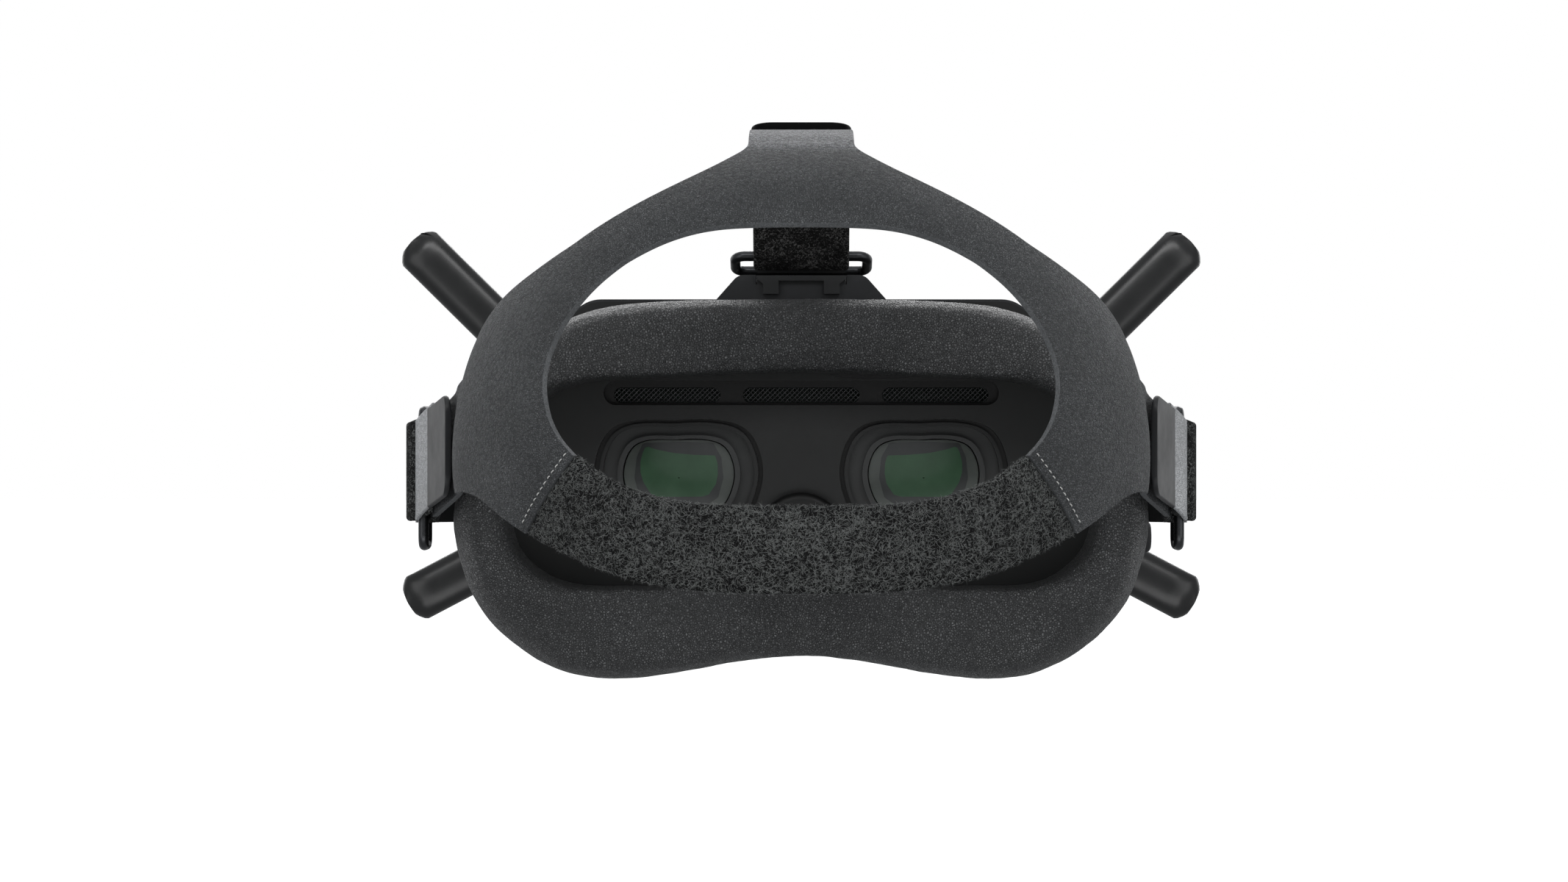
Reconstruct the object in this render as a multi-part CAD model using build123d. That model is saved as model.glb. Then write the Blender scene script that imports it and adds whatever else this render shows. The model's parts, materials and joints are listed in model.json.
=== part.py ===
"""FPV goggles with a leather headband, in millimetres.

+Z is up, +Y is the way the wearer looks and +X is the wearer's right. The origin is midway
between the two eyepieces, on the plane through the middles of their lenses.
"""
from build123d import *
import math
import os

# ---- driving dimensions ------------------------------------------------------------------
EYE_SPACING = 65.0            # between the middles of the two lenses
EYE_TRAVEL = 3.0              # each eyepiece slides this far either way
CASE_HALF_WIDTH = 90.0
CASE_TOP, CASE_BOTTOM = 47.5, -45.0
WALL = 2.0
PLATE_BACK = -2.0             # the face plate's side towards the wearer
CASE_BACK = 1.0               # where the rear housing starts
SHELF = 44.0                  # the rear housing's front, where the antennas sit
COVER_BACK = 60.0
CASE_FRONT = 72.0
PAD_FRONT = -6.0              # where the foam pad meets its frame
RING_LENGTH, RING_PITCH, RING_BAR_R = 38.0, 10.0, 1.35
STRAP_WIDTH, STRAP_THICK = 25.5, 3.0
LOOSE, FIT = 0.3, 0.05        # clearance of free pieces, and of a pin in its hole
HEAD_Y, HEAD_Z = -70.0, 5.5   # middle of the egg shape that the headband follows
HEAD_HALF_WIDTH, HEAD_R = 86.0, 80.5
ANTENNA_WIDTH, ANTENNA_THICK, ANTENNA_REACH = 13.2, 7.6, 43.0
UPPER_PIVOT, UPPER_ANGLE = (77.7, 35.0), 44.7
LOWER_PIVOT, LOWER_ANGLE = (71.3, -15.1), -27.7
SIDE_RING_X, SIDE_RING_BACK, SIDE_RING_FRONT = 99.2, -12.0, -2.0
TOP_RING_BACK, TOP_RING_FRONT = (5.0, 59.1), (14.2, 55.6)     # (Y, Z) of the two bars
FAN_Z = 2.0
CONTROL_Y = 30.0              # the row of controls and sockets on the casing's sides
STICK_Z, RECORD_Z, BACK_Z = -16.4, -3.5, 6.0
SCREW_SPOTS = [(56.5, 42.5), (-56.5, 42.5), (56.5, -40.0), (-56.5, -40.0)]

PARTS = {}


def save(name, *solids):
    """Keep one piece, or a group of like pieces, under its node name."""
    flat = [s for shape in solids for s in shape.solids()]
    PARTS[name] = Compound(children=flat) if len(flat) > 1 else flat[0]


# ---- small builders ----------------------------------------------------------------------
def slab(sketch, y0, y1):
    """A sketch drawn in X and Z, made solid from y0 to y1."""
    plane = Plane(origin=(0, y1, 0), x_dir=(1, 0, 0), z_dir=(0, -1, 0))
    return extrude(plane * sketch, amount=y1 - y0)


def block(x0, x1, y0, y1, z0, z1):
    return Pos((x0 + x1) / 2, (y0 + y1) / 2, (z0 + z1) / 2) * Box(x1 - x0, y1 - y0, z1 - z0)


def rod(axis, start, end, at, radius):
    """A cylinder along axis X, Y or Z; at gives its place on the other two axes in order."""
    middle = (start + end) / 2
    turn = {"X": Rot(0, 90, 0), "Y": Rot(90, 0, 0), "Z": Rot(0, 0, 0)}[axis]
    place = {"X": (middle, at[0], at[1]), "Y": (at[0], middle, at[1]),
             "Z": (at[0], at[1], middle)}[axis]
    return Pos(*place) * turn * Cylinder(radius, end - start)


def tube(axis, start, end, at, outer, inner):
    return rod(axis, start, end, at, outer) - rod(axis, start - 1, end + 1, at, inner)


def both_sides(shape):
    return [shape, mirror(shape, about=Plane.YZ)]


def closed_curve(points, grow=0.0, middle=(0.0, -4.0)):
    """A smooth face, the same left and right, through points on its right half."""
    moved = []
    for x, z in points:
        dx, dz = x - middle[0], z - middle[1]
        reach = math.hypot(dx, dz)
        moved.append((x + grow * dx / reach, z + grow * dz / reach))
    left = [(-x, z) for x, z in reversed(moved) if x > 0.01]
    return make_face(Spline(*(moved + left), periodic=True))


def strip(points, thickness):
    """A face of even thickness whose middle line is a smooth curve through points."""
    sides = ([], [])
    for i, (x, y) in enumerate(points):
        before, after = points[max(i - 1, 0)], points[min(i + 1, len(points) - 1)]
        dx, dy = after[0] - before[0], after[1] - before[1]
        length = math.hypot(dx, dy)
        for side, sign in zip(sides, (1, -1)):
            side.append((x - sign * dy / length * thickness / 2, y + sign * dx / length * thickness / 2))
    near, far = sides[0], sides[1]
    return make_face([Spline(*near), Line(near[-1], far[-1]), Spline(*reversed(far)), Line(far[0], near[0])])


def across_x(face, x0, x1):
    """A face drawn in Y and Z, made solid from x0 to x1."""
    return extrude(Plane.YZ.offset(x0) * face, amount=x1 - x0)


def egg(inset=0.0):
    """The solid that the headband is wrapped on, round about the X axis."""
    half = Ellipse(HEAD_HALF_WIDTH - inset, HEAD_R - inset) & (Pos(0, HEAD_R) * Rectangle(400, 2 * HEAD_R))
    return Pos(0, HEAD_Y, HEAD_Z) * revolve(half, Axis.X)


# ---- outlines ----------------------------------------------------------------------------
def case_outline(inset=0.0):
    """The casing from behind: flat top, sloping shoulders, lower corners cut off behind the pad."""
    right = [(56, CASE_TOP), (CASE_HALF_WIDTH, 24.6), (CASE_HALF_WIDTH, -27), (66, CASE_BOTTOM)]
    corners = right + [(-x, z) for x, z in reversed(right)]
    path = FilletPolyline(*corners, radius=[9, 12, 8, 12, 12, 8, 12, 9], close=True)
    face = make_face(path)
    return offset(face, amount=-inset) if inset else face


def front_outline(inset=0.0):
    """The casing's front part: a tall middle with a wing each side, between the antennas."""
    middle = Pos(0, (CASE_TOP + CASE_BOTTOM) / 2) * RectangleRounded(124, CASE_TOP - CASE_BOTTOM, 9)
    wings = Pos(0, 10) * RectangleRounded(176, 32, 6)
    face = middle + wings
    return offset(face, amount=-inset) if inset else face


PAD_OUTSIDE = [(0, 46.8), (36, 46), (60, 41.6), (77, 27.8), (86.3, 8.5), (90.4, -9.5), (88.4, -22), (84, -33),
               (73, -44.6), (60, -50.5), (48, -52), (22, -48.6), (0, -46.3)]
PAD_INSIDE = [(0, 27.8), (45, 26.2), (64, 22.6), (75, 9), (76.6, -6), (74, -18.5), (63, -27), (46, -28.4),
              (28, -27), (14, -20.5), (0, -18.2)]
EYE_OUTLINE = [(0, 15.4), (12, 15.2), (18, 12.8), (21.5, 7), (22.4, 1), (21.2, -5), (17.5, -11.5), (10, -15),
               (0, -15.4)]
BAND_OUTSIDE_TOP = [(12.75, 81.5), (28, 71.6), (54.4, 56.4), (72.6, 44.3), (92, 27)]
BAND_OUTSIDE_LOW = [(92, -1), (79.5, -2.7), (63.1, -12.1), (49, -19.1), (25.3, -24.4), (0, -25)]
BAND_HOLE = [(0, 60.3), (22.7, 59.4), (41, 51.9), (55.2, 37.2), (59.4, 23), (54.3, 8.8), (45.9, 1.7),
             (24.4, -4.6), (0, -4.9)]
SEAM_TOP, SEAM_LOW = (53.2, 7.0), (66.0, -12.2)
VENTS = [(-35.6, 28.3), (0, 31.0), (35.6, 28.3)]          # middle and length of each mesh insert
VENT_Z = 22.5


def eye_shape(side, half_width):
    """The eyepiece's outline, flat along its top and narrower at the cheek, at one size."""
    size = half_width / 22.4
    face = closed_curve([(x * size, z * size) for x, z in EYE_OUTLINE])
    return Pos(side * EYE_SPACING / 2, 0) * face


# ---- casing ------------------------------------------------------------------------------
def hump():
    """The block on top that carries the top strap's bracket."""
    side = FilletPolyline((-24, CASE_TOP - 1.6), (-16.8, 54), (16.8, 54), (24, CASE_TOP - 1.6),
                          radius=[0.5, 3.6, 3.6, 0.5], close=True)
    body = slab(make_face(side), CASE_BACK, 36)
    return body - block(-12.1, 12.1, 0, 26, 51.5, 60)


def wall_openings():
    """Everything that reaches through the rear housing's walls."""
    slots = [block(s * EYE_SPACING / 2 - 6, s * EYE_SPACING / 2 + 6, 17.2, 22.8, -46, -42) for s in (-1, 1)]
    right = [rod("X", 86, 92, (CONTROL_Y, STICK_Z), 3.4)]
    right += [rod("X", 86, 92, (CONTROL_Y, z), 3.0 + LOOSE) for z in (RECORD_Z, BACK_Z)]
    right += [block(86, 92, 28.3, 37.7, 11.2, 14.8)]
    left = [rod("X", -92, -86, (CONTROL_Y, -11.5), 4.0), rod("X", -92, -86, (CONTROL_Y, 4.0), 3.0),
            block(-92, -86, 24.0, 36.0, -22.0, -20.4)]
    window = slab(Pos(0, 1) * RectangleRounded(106, 72, 8), SHELF - 4, SHELF + 1)
    return slots + right + left + [window]


def rear_housing():
    shell = slab(case_outline(), CASE_BACK, SHELF)
    shell -= slab(case_outline(WALL), CASE_BACK - 1, SHELF - WALL)
    shell += hump()
    for side in (1, -1):
        for x, z in (UPPER_PIVOT, LOWER_PIVOT):
            shell += rod("Y", 38, SHELF, (side * x, z), 7.4)
        for z in (16.0, -16.0):
            inner, outer = sorted((side * 83.0, side * 88.5))
            shell += rod("X", inner, outer, (12, z), 3.6)
    shell -= rod("X", -86, 86, (12, 16), 1.5 + FIT)
    shell -= rod("X", -86, 86, (12, -16), 1.5 + FIT)
    for cut in wall_openings():
        shell -= cut
    save("rear_housing", shell)


def front_housing():
    shell = slab(front_outline(), SHELF, COVER_BACK) - slab(front_outline(WALL), SHELF - 1, COVER_BACK + 1)
    for x, z in SCREW_SPOTS:
        shell += rod("Y", 46, COVER_BACK, (x, z), 3.8)
    for side in (1, -1):
        inner, outer = sorted((side * 50.5, side * 60.4))
        shell += block(inner, outer, 45.4, 47, -38, -20)
        shell += block(inner, outer, 45.4, 47, 30, 40)
    shell &= slab(front_outline(), SHELF, COVER_BACK)
    for x, z in SCREW_SPOTS:
        shell -= rod("Y", 45, COVER_BACK + 1, (x, z), 1.25 + FIT)
    for x in (-32, -18):
        shell -= rod("Z", 44, 49, (x, 52), 2.6 + LOOSE)
    shell -= rod("Z", -47, -42, (20, 52), 2.2 + LOOSE)
    save("front_housing", shell)


def front_cover():
    shell = slab(front_outline(), COVER_BACK, CASE_FRONT)
    front = shell.edges().group_by(Axis.Y)[-1]
    shell = chamfer(front, 1.6)
    shell -= slab(front_outline(WALL), COVER_BACK - 1, CASE_FRONT - WALL)
    for x, z in SCREW_SPOTS:
        post = rod("Y", COVER_BACK, CASE_FRONT - 1, (x, z), 3.8)
        shell += post & slab(front_outline(0.5), COVER_BACK, CASE_FRONT)
        shell -= rod("Y", COVER_BACK - 1, CASE_FRONT + 1, (x, z), 1.5)
        shell -= rod("Y", CASE_FRONT - 2.6, CASE_FRONT + 1, (x, z), 2.7)
    shell -= rod("Y", 65, CASE_FRONT + 1, (0, FAN_Z), 18.5)
    shell -= block(27.8, 46.2, 65, CASE_FRONT + 1, -28.2, -18.8)
    save("front_cover", shell)


def face_plate():
    """The plate round the eyepieces: a grooved ledge round each, and a long vent recess above."""
    plate = slab(case_outline(0.8), PLATE_BACK, CASE_BACK)
    plate -= slab(Pos(0, VENT_Z) * SlotOverall(104.8, 6.4), PLATE_BACK - 1, PLATE_BACK + 2)
    for x, length in VENTS:
        plate -= slab(Pos(x, VENT_Z - 0.5) * SlotOverall(length, 4.0), PLATE_BACK - 1, CASE_BACK + 1)
    for side in (1, -1):
        plate -= slab(eye_shape(side, 22.4), PLATE_BACK - 1, PLATE_BACK + 1.1)
        plate -= slab(eye_shape(side, 22.4) - eye_shape(side, 21.1), PLATE_BACK, PLATE_BACK + 2.2)
        plate -= slab(eye_shape(side, 20.1), PLATE_BACK - 1, CASE_BACK + 1)
    save("face_plate", plate)


def vent_meshes():
    save("vent_meshes", *[slab(Pos(x, VENT_Z - 0.5) * SlotOverall(length - 0.1, 3.9), 0.1, CASE_BACK)
                          for x, length in VENTS])


def nose_shield():
    """The smooth dome over the bridge of the nose."""
    dome = slab(Pos(0, -15.3) * Circle(11.5), -6, PLATE_BACK) & block(-12, 12, -7, 0, -17, 0)
    dome = fillet(dome.edges().group_by(Axis.Y)[0], 2.2)
    save("nose_shield", dome)


# ---- soft face pad -----------------------------------------------------------------------
def pad_depth():
    """A tall solid whose back follows the face: shallow at the forehead, deep at the temples."""
    right = [(0, -22), (35, -24.6), (62, -30.6), (76, -33), (85, -29), (89.5, -22), (91.5, -13)]
    left = [(-x, y) for x, y in reversed(right) if x > 0]
    face = make_face([Spline(*(left + right)), Line(right[-1], (91.5, PAD_FRONT)),
                      Line((91.5, PAD_FRONT), (-91.5, PAD_FRONT)), Line((-91.5, PAD_FRONT), left[0])])
    return extrude(Plane.XY.offset(-60) * face, amount=120)


def pad_frame():
    ring = closed_curve(PAD_OUTSIDE, -2.0) - closed_curve(PAD_INSIDE, 2.5)
    save("pad_frame", slab(ring, PAD_FRONT, PLATE_BACK))


def face_pad():
    ring = slab(closed_curve(PAD_OUTSIDE) - closed_curve(PAD_INSIDE), -40, PAD_FRONT)
    pad = ring & pad_depth()
    pad -= rod("Z", -60, -10, (0, -36), 23)
    save("face_pad", pad)


# ---- eyepieces ---------------------------------------------------------------------------
def eyepiece(name, side):
    """One sliding eyepiece: its barrel on two rods, the lens, the display and the thumb knob."""
    x = side * EYE_SPACING / 2
    flange = slab(eye_shape(side, 26.2), 1.3, 3.0)
    body = slab(eye_shape(side, 16.3), -0.8, 27)
    hollow = slab(eye_shape(side, 14.9), -2, 30)
    barrel = flange + body
    for z in (16.0, -16.0):
        low, high = sorted((z - math.copysign(5.8, z), z + math.copysign(3.2, z)))
        barrel += block(x - 9, x + 9, 9, 15, low, high)
    barrel += rod("Z", -44.9, -10.6, (x, 20), 2.2)
    barrel -= hollow
    for z in (16.0, -16.0):
        barrel -= rod("X", x - 30, x + 30, (12, z), 1.5 + FIT)
    save("lens_barrel_" + name, barrel)
    glass = slab(eye_shape(side, 14.85), -1, 5)
    glass &= Pos(x, 46.0, 0) * Sphere(46.0)
    save("lens_" + name, glass)
    save("display_" + name, slab(Pos(x, 0) * Rectangle(31, 23), 27, 29.4))
    knob = rod("Z", -50.2, -45.6, (x, 20), 6.5) - rod("Z", -60, -49.0, (x, 20), 4.6)
    knob += rod("Z", -45.6, -44.9, (x, 20), 2.2)
    for i in range(20):
        a = math.radians(18 * i)
        knob -= rod("Z", -51, -45, (x + 6.9 * math.cos(a), 20 + 6.9 * math.sin(a)), 0.6)
    save("ipd_knob_" + name, knob)


def guide_rods():
    save("guide_rods", *[rod("X", -85.5, 85.5, (12, z), 1.5) for z in (16.0, -16.0)])


# ---- electronics and cooling -------------------------------------------------------------
def electronics():
    save("main_board", slab(Pos(0, 1) * RectangleRounded(104, 78, 3), 47, 48.6))
    sink = block(-22, 22, 48.6, 50.4, -16, 20)
    for i in range(9):
        x = -21.4 + 5.2 * i
        sink += block(x, x + 1.2, 50.4, 57.5, -16, 20)
    save("heat_sink", sink)
    frame = tube("Y", 57.5, 67, (0, FAN_Z), 18.0, 16.4)
    frame += rod("Y", 57.5, 58.7, (0, FAN_Z), 5.0) + rod("Y", 57.5, 65, (0, FAN_Z), 1.5)
    for turn in range(3):
        frame += Pos(0, 58.1, FAN_Z) * Rot(0, 120 * turn, 0) * Pos(8.5, 0, 0) * Box(17.0, 1.2, 2.4)
    frame &= rod("Y", 57.5, 67, (0, FAN_Z), 18.0)
    save("fan_housing", frame)
    rotor = rod("Y", 59.2, 66, (0, FAN_Z), 6.5)
    for i in range(7):
        blade = Rot(0, 360 / 7 * i, 0) * Pos(10.6, 0, 0) * Rot(38, 0, 0) * Box(9.6, 1.0, 6.4)
        rotor += Pos(0, 62.6, FAN_Z) * blade
    rotor &= rod("Y", 59.2, 66, (0, FAN_Z), 15.6)
    rotor -= rod("Y", 50, 65.3, (0, FAN_Z), 1.5 + FIT)
    save("fan_rotor", rotor)
    grille = rod("Y", 70, 71.6, (0, FAN_Z), 18.4)
    for i in range(16):
        arm = Rot(0, 22.5 * i, 0) * Pos(11.4, 0, 0) * Box(9.6, 6, 1.7)
        grille -= Pos(0, 71, FAN_Z) * arm
    save("intake_grille", grille)
    save("channel_display", block(28, 46, 68.5, 71.7, -28, -19))


def screws():
    solids = []
    for x, z in SCREW_SPOTS:
        screw = rod("Y", 50, 70, (x, z), 1.25) + rod("Y", 69.4, 71.4, (x, z), 2.4)
        screw -= Pos(x, 71.4, z) * Rot(90, 0, 0) * extrude(RegularPolygon(1.1, 6), amount=1.2, both=True)
        solids.append(screw)
    save("housing_screws", *solids)


def sockets():
    """The sockets behind the casing's side walls."""
    jack = block(-88, -76, 25.5, 34.5, -16, -7)
    jack -= rod("X", -89, -78.5, (CONTROL_Y, -11.5), 2.75)
    jack += rod("X", -87, -78, (CONTROL_Y, -11.5), 1.05)
    save("dc_jack", jack)
    save("audio_jack", block(-88, -75, 27, 33, 1, 7) - rod("X", -89, -76, (CONTROL_Y, 4), 1.8))
    port = block(79, 89.4, 28.5, 37.5, 11.4, 14.6) - block(81, 90, 28.9, 37.1, 11.8, 14.2)
    port += block(80, 88, 30.0, 36.0, 12.7, 13.3)
    save("usb_port", port)
    save("card_slot", block(-88, -74, 23.6, 36.4, -22.4, -20.0) - block(-89, -75, 24.4, 35.6, -21.8, -20.6))


# ---- controls ----------------------------------------------------------------------------
def joystick():
    pivot = (CONTROL_Y, STICK_Z)
    save("joystick_housing", tube("X", 80, 88, pivot, 7.0, 5.0) + rod("X", 79, 80, pivot, 7.0))
    save("joystick_gimbal", tube("X", 83.2, 84.8, pivot, 4.5, 3.1))
    flat, neck = 84 - math.sqrt(2.4 ** 2 - 1.8 ** 2), 84 + math.sqrt(2.4 ** 2 - 1.2 ** 2)
    outline = [Line((flat, 0), (flat, 1.8)), ThreePointArc((flat, 1.8), (84, 2.4), (neck, 1.2)),
               Line((neck, 1.2), (93.6, 1.2)), Line((93.6, 1.2), (93.6, 0)), Line((93.6, 0), (flat, 0))]
    save("joystick_stem", Pos(0, *pivot) * revolve(make_face(outline), Axis.X))
    cap = rod("X", 91.8, 95.6, pivot, 4.3)
    cap = fillet(cap.edges().group_by(Axis.X)[-1], 1.4)
    cap -= rod("X", 91, 94.2, pivot, 1.2 + FIT)
    save("joystick_cap", cap)


def button(name, axis, face, at, radius, proud, out):
    """A push button in a wall hole, with a flange behind the wall; out is 1 or -1."""
    inside, back, front = face - out * (WALL + 0.4), face - out * (WALL + 1.6), face + out * proud
    cap = rod(axis, *sorted((back, front)), at, radius)
    cap = fillet(cap.edges().group_by({"X": Axis.X, "Z": Axis.Z}[axis])[-1 if out > 0 else 0], 0.4)
    cap += rod(axis, *sorted((back, inside)), at, radius + 1.0)
    save(name, cap)


def buttons():
    button("record_button", "X", CASE_HALF_WIDTH, (CONTROL_Y, RECORD_Z), 3.0, 1.2, 1)
    button("back_button", "X", CASE_HALF_WIDTH, (CONTROL_Y, BACK_Z), 3.0, 1.2, 1)
    button("channel_up_button", "Z", CASE_TOP, (-32, 52), 2.6, 1.0, 1)
    button("channel_down_button", "Z", CASE_TOP, (-18, 52), 2.6, 1.0, 1)
    button("link_button", "Z", CASE_BOTTOM, (20, 52), 2.2, 0.6, -1)
    side = [block(80, 85.6, CONTROL_Y - 3, CONTROL_Y + 3, z - 3, z + 3) for z in (RECORD_Z, BACK_Z)]
    top = [block(x - 3, x + 3, 49.2, 55, 39, 43.2) for x in (-32, -18)]
    save("key_switches", *side, *top, block(17, 23, 49.2, 55, -40.8, -37))


# ---- antennas ----------------------------------------------------------------------------
def antenna_sockets():
    solids = []
    for side in (1, -1):
        for x, z in (UPPER_PIVOT, LOWER_PIVOT):
            at = (side * x, z)
            solids.append(rod("Y", SHELF, SHELF + 1, at, 6.0) + rod("Y", SHELF, 54.4, at, 2.0)
                          + rod("Y", 53.2, 54.4, at, 4.0))
    save("antenna_sockets", *solids)


def antenna(name, side, pivot, angle):
    """A flat blade with a round knuckle, an open slot at its tip and its element inside."""
    half = ANTENNA_WIDTH / 2
    blade = Pos(ANTENNA_REACH / 2, 0) * Rectangle(ANTENNA_REACH, ANTENNA_WIDTH) + Circle(half)
    body = extrude(blade, amount=ANTENNA_THICK / 2, both=True)
    body = chamfer(body.edges().group_by(Axis.X)[-1].filter_by(Axis.Z), 2.4)
    body = chamfer(body.faces().sort_by(Axis.Z)[-1].edges() + body.faces().sort_by(Axis.Z)[0].edges(), 0.9)
    body -= Cylinder(2.0 + FIT, 20)
    inner = Pos(22.5, 0, 0) * Box(31, 9, 2)
    body -= inner
    place = Pos(side * pivot[0], SHELF + 1.2 + ANTENNA_THICK / 2, pivot[1])
    turn = Rot(0, -angle, 0) if side > 0 else Rot(0, angle - 180, 0)
    save("antenna_shell_" + name, place * turn * Rot(90, 0, 0) * body)
    element = Pos(22.5, 0, -0.4) * Box(30, 8, 1.0)
    save("antenna_element_" + name, place * turn * Rot(90, 0, 0) * element)


# ---- strap hardware ----------------------------------------------------------------------
def hook(axis, start, end, at, gap_turn):
    """A split clip round a ring's bar, open on the side that gap_turn gives in degrees."""
    clip = tube(axis, start, end, at, RING_BAR_R + 1.75, RING_BAR_R + LOOSE)
    middle = (start + end) / 2
    gap = Pos(3, 0, 0) * Box(6, 2.3, end - start + 2)
    if axis == "X":
        return clip - Pos(middle, *at) * Rot(gap_turn, 0, 0) * Rot(0, 90, 0) * Rot(0, 0, 90) * gap
    return clip - Pos(*at, middle) * Rot(0, 0, gap_turn) * gap


def strap_brackets():
    """The clips that hold the three rings: one on the hump, one on each side."""
    half = 11.8
    top = block(-half, half, CASE_BACK, 26, 51.5, 53.0)
    top += hook("X", -half, half, TOP_RING_FRONT, 215) - block(-20, 20, 0, 40, 40, 51.5)
    top += block(-half, half, CASE_BACK, 11.6, 51.5, 53.0)
    legs = [(12.0, 53.8), (12.0, 53.0), (10.2, 51.6), (10.2, 48.9), (6.0, 48.9), (6.0, 52.4)]
    legs += [(-x, z) for x, z in reversed(legs)]
    top += slab(make_face(Polyline(*legs, close=True)), -0.6, CASE_BACK)
    top -= rod("X", -20, 20, TOP_RING_FRONT, RING_BAR_R + LOOSE)
    x, y = SIDE_RING_X, SIDE_RING_FRONT
    arm = make_face(Polyline((90, 19), (92, 19), (92, 8), (x + 2.4, y + 1.6), (x - 1, y + 1.4), (90, 3.6),
                             close=True))
    side_clip = extrude(Plane.XY.offset(-half) * arm, amount=2 * half) + hook("Z", -half, half, (x, y), 200)
    side_clip -= rod("Z", -20, 20, (x, y), RING_BAR_R + LOOSE)
    side_clip -= block(80, CASE_HALF_WIDTH, -10, 30, -20, 20)
    save("strap_brackets", top, *both_sides(side_clip))


def ring():
    """A wire ring lying in X and Y, its long bars along X and its front bar on the X axis."""
    x, y = RING_LENGTH / 2 - RING_BAR_R, RING_PITCH
    path = FilletPolyline((-x, 0), (x, 0), (x, -y), (-x, -y), radius=2.6, close=True)
    start = path @ 0
    section = Plane(origin=start, z_dir=path % 0) * Circle(RING_BAR_R)
    return sweep(section, path=path)


def rings():
    rise = TOP_RING_BACK[1] - TOP_RING_FRONT[1]
    tilt = -math.degrees(math.atan2(rise, TOP_RING_FRONT[0] - TOP_RING_BACK[0]))
    save("top_ring", Pos(0, *TOP_RING_FRONT) * Rot(tilt, 0, 0) * ring())
    for name, side in (("right", 1), ("left", -1)):
        save(name + "_ring", Pos(side * SIDE_RING_X, SIDE_RING_FRONT, 0) * Rot(0, 90, 0) * ring())


# ---- headband ----------------------------------------------------------------------------
ARM_LINE = [(94.8, -19), (90.0, -32), (85.8, -46), (84.4, -60), (84.5, -74)]          # (X, Y)
CROWN_LINE = [(-100, 77.4), (-90, 81.4), (-78, 83.6), (-58, 86.2), (-36, 87.3)]       # (Y, Z)
TOP_LOOP_LINE = [(-36, 87.3), (-27, 85.3), (-17, 79.5), (-5, 69.5), (3.2, 61.1)]      # (Y, Z)


def band_faces():
    """The band seen from behind: the leather, and the fleece-faced stretch below its window."""
    top = BAND_OUTSIDE_TOP
    low = BAND_OUTSIDE_LOW
    mirrored = [(-x, z) for x, z in reversed(low[:-1])]
    edge = [Spline(*top), Line(top[-1], low[0]), Spline(*(low + mirrored))]
    left_top = [(-x, z) for x, z in reversed(top)]
    edge += [Line(mirrored[-1], left_top[0]), Spline(*left_top), Line(left_top[-1], top[0])]
    whole = make_face(edge) - closed_curve(BAND_HOLE)
    corners = [SEAM_TOP, SEAM_LOW, (SEAM_LOW[0] + 12, -40)]
    low_part = make_face(Polyline(*(corners + [(-x, z) for x, z in reversed(corners)]), close=True))
    return whole - low_part, whole & low_part


def back_strap():
    leather, fleece = band_faces()
    shell = egg() - egg(STRAP_THICK)
    reach = (-160, HEAD_Y + 2)
    cap = shell & slab(leather, *reach)
    side_view = make_face(Polyline((-74, 33), (-60, 25), (-46, 22.3), (-19, 16), (-19, -10), (-46, -3.5),
                                   (-74, -3), close=True))
    arm = extrude(Plane.XY.offset(-14) * strip(ARM_LINE, STRAP_THICK), amount=50)
    arm &= across_x(side_view, 60, 110)
    crown = across_x(strip(CROWN_LINE, STRAP_THICK), -STRAP_WIDTH / 2, STRAP_WIDTH / 2)
    band = cap + crown
    for piece in both_sides(arm):
        band += piece
    save("back_strap", band)
    save("fleece_pad", shell & slab(fleece, *reach))


def loops():
    """The strap ends that pass round the rings and fold back on themselves."""
    half, bar = STRAP_WIDTH / 2, RING_BAR_R + LOOSE
    top = across_x(strip(TOP_LOOP_LINE, STRAP_THICK), -half, half)
    top += rod("X", -half, half, TOP_RING_BACK, bar + 2.0)
    save("loop_top", top - rod("X", -20, 20, TOP_RING_BACK, bar))
    at = (SIDE_RING_X, SIDE_RING_BACK)
    tail = strip([(98.6, -14.0), (96.7, -16.6), (94.8, -19)], STRAP_THICK)
    side = extrude(Plane.XY.offset(1.9 - half) * tail, amount=STRAP_WIDTH)
    side += rod("Z", 1.9 - half, 1.9 + half, at, bar + 2.0)
    side -= rod("Z", -20, 20, at, bar)
    right, left = both_sides(side)
    save("loop_right", right)
    save("loop_left", left)


def pull_tabs():
    """The stiff plates stitched to the folded ends, one on the crown and one each side."""
    top_line = [(-36, 90.3), (-26, 88.2), (-15.0, 82.2), (-6.3, 75.0)]
    top = across_x(strip(top_line, 2.2), -STRAP_WIDTH / 2, STRAP_WIDTH / 2)
    plate = extrude(Plane.XY.offset(-20) * strip([(97.5, -21), (93.2, -32), (89.0, -46)], 2.2), amount=50)
    side_view = make_face(Polyline((-47, 22.3), (-18, 17.0), (-18, -8.6), (-47, -3.5), close=True))
    plate &= across_x(side_view, 60, 110)
    save("pull_tabs", top, *both_sides(plate))


def main():
    rear_housing()
    front_housing()
    front_cover()
    face_plate()
    vent_meshes()
    nose_shield()
    pad_frame()
    face_pad()
    eyepiece("right", 1)
    eyepiece("left", -1)
    guide_rods()
    electronics()
    screws()
    sockets()
    joystick()
    buttons()
    antenna_sockets()
    for side, word in ((1, "right"), (-1, "left")):
        antenna("upper_" + word, side, UPPER_PIVOT, UPPER_ANGLE)
        antenna("lower_" + word, side, LOWER_PIVOT, LOWER_ANGLE)
    strap_brackets()
    rings()
    back_strap()
    loops()
    pull_tabs()
    os.makedirs("parts", exist_ok=True)
    for name, shape in PARTS.items():
        export_step(shape, f"parts/{name}.step")


main()
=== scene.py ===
"""The looks of the FPV goggles: materials, soft goods, fine detail, light and camera."""
import json
import math

import bpy
import numpy as np
from mathutils import Matrix, Vector


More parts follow.
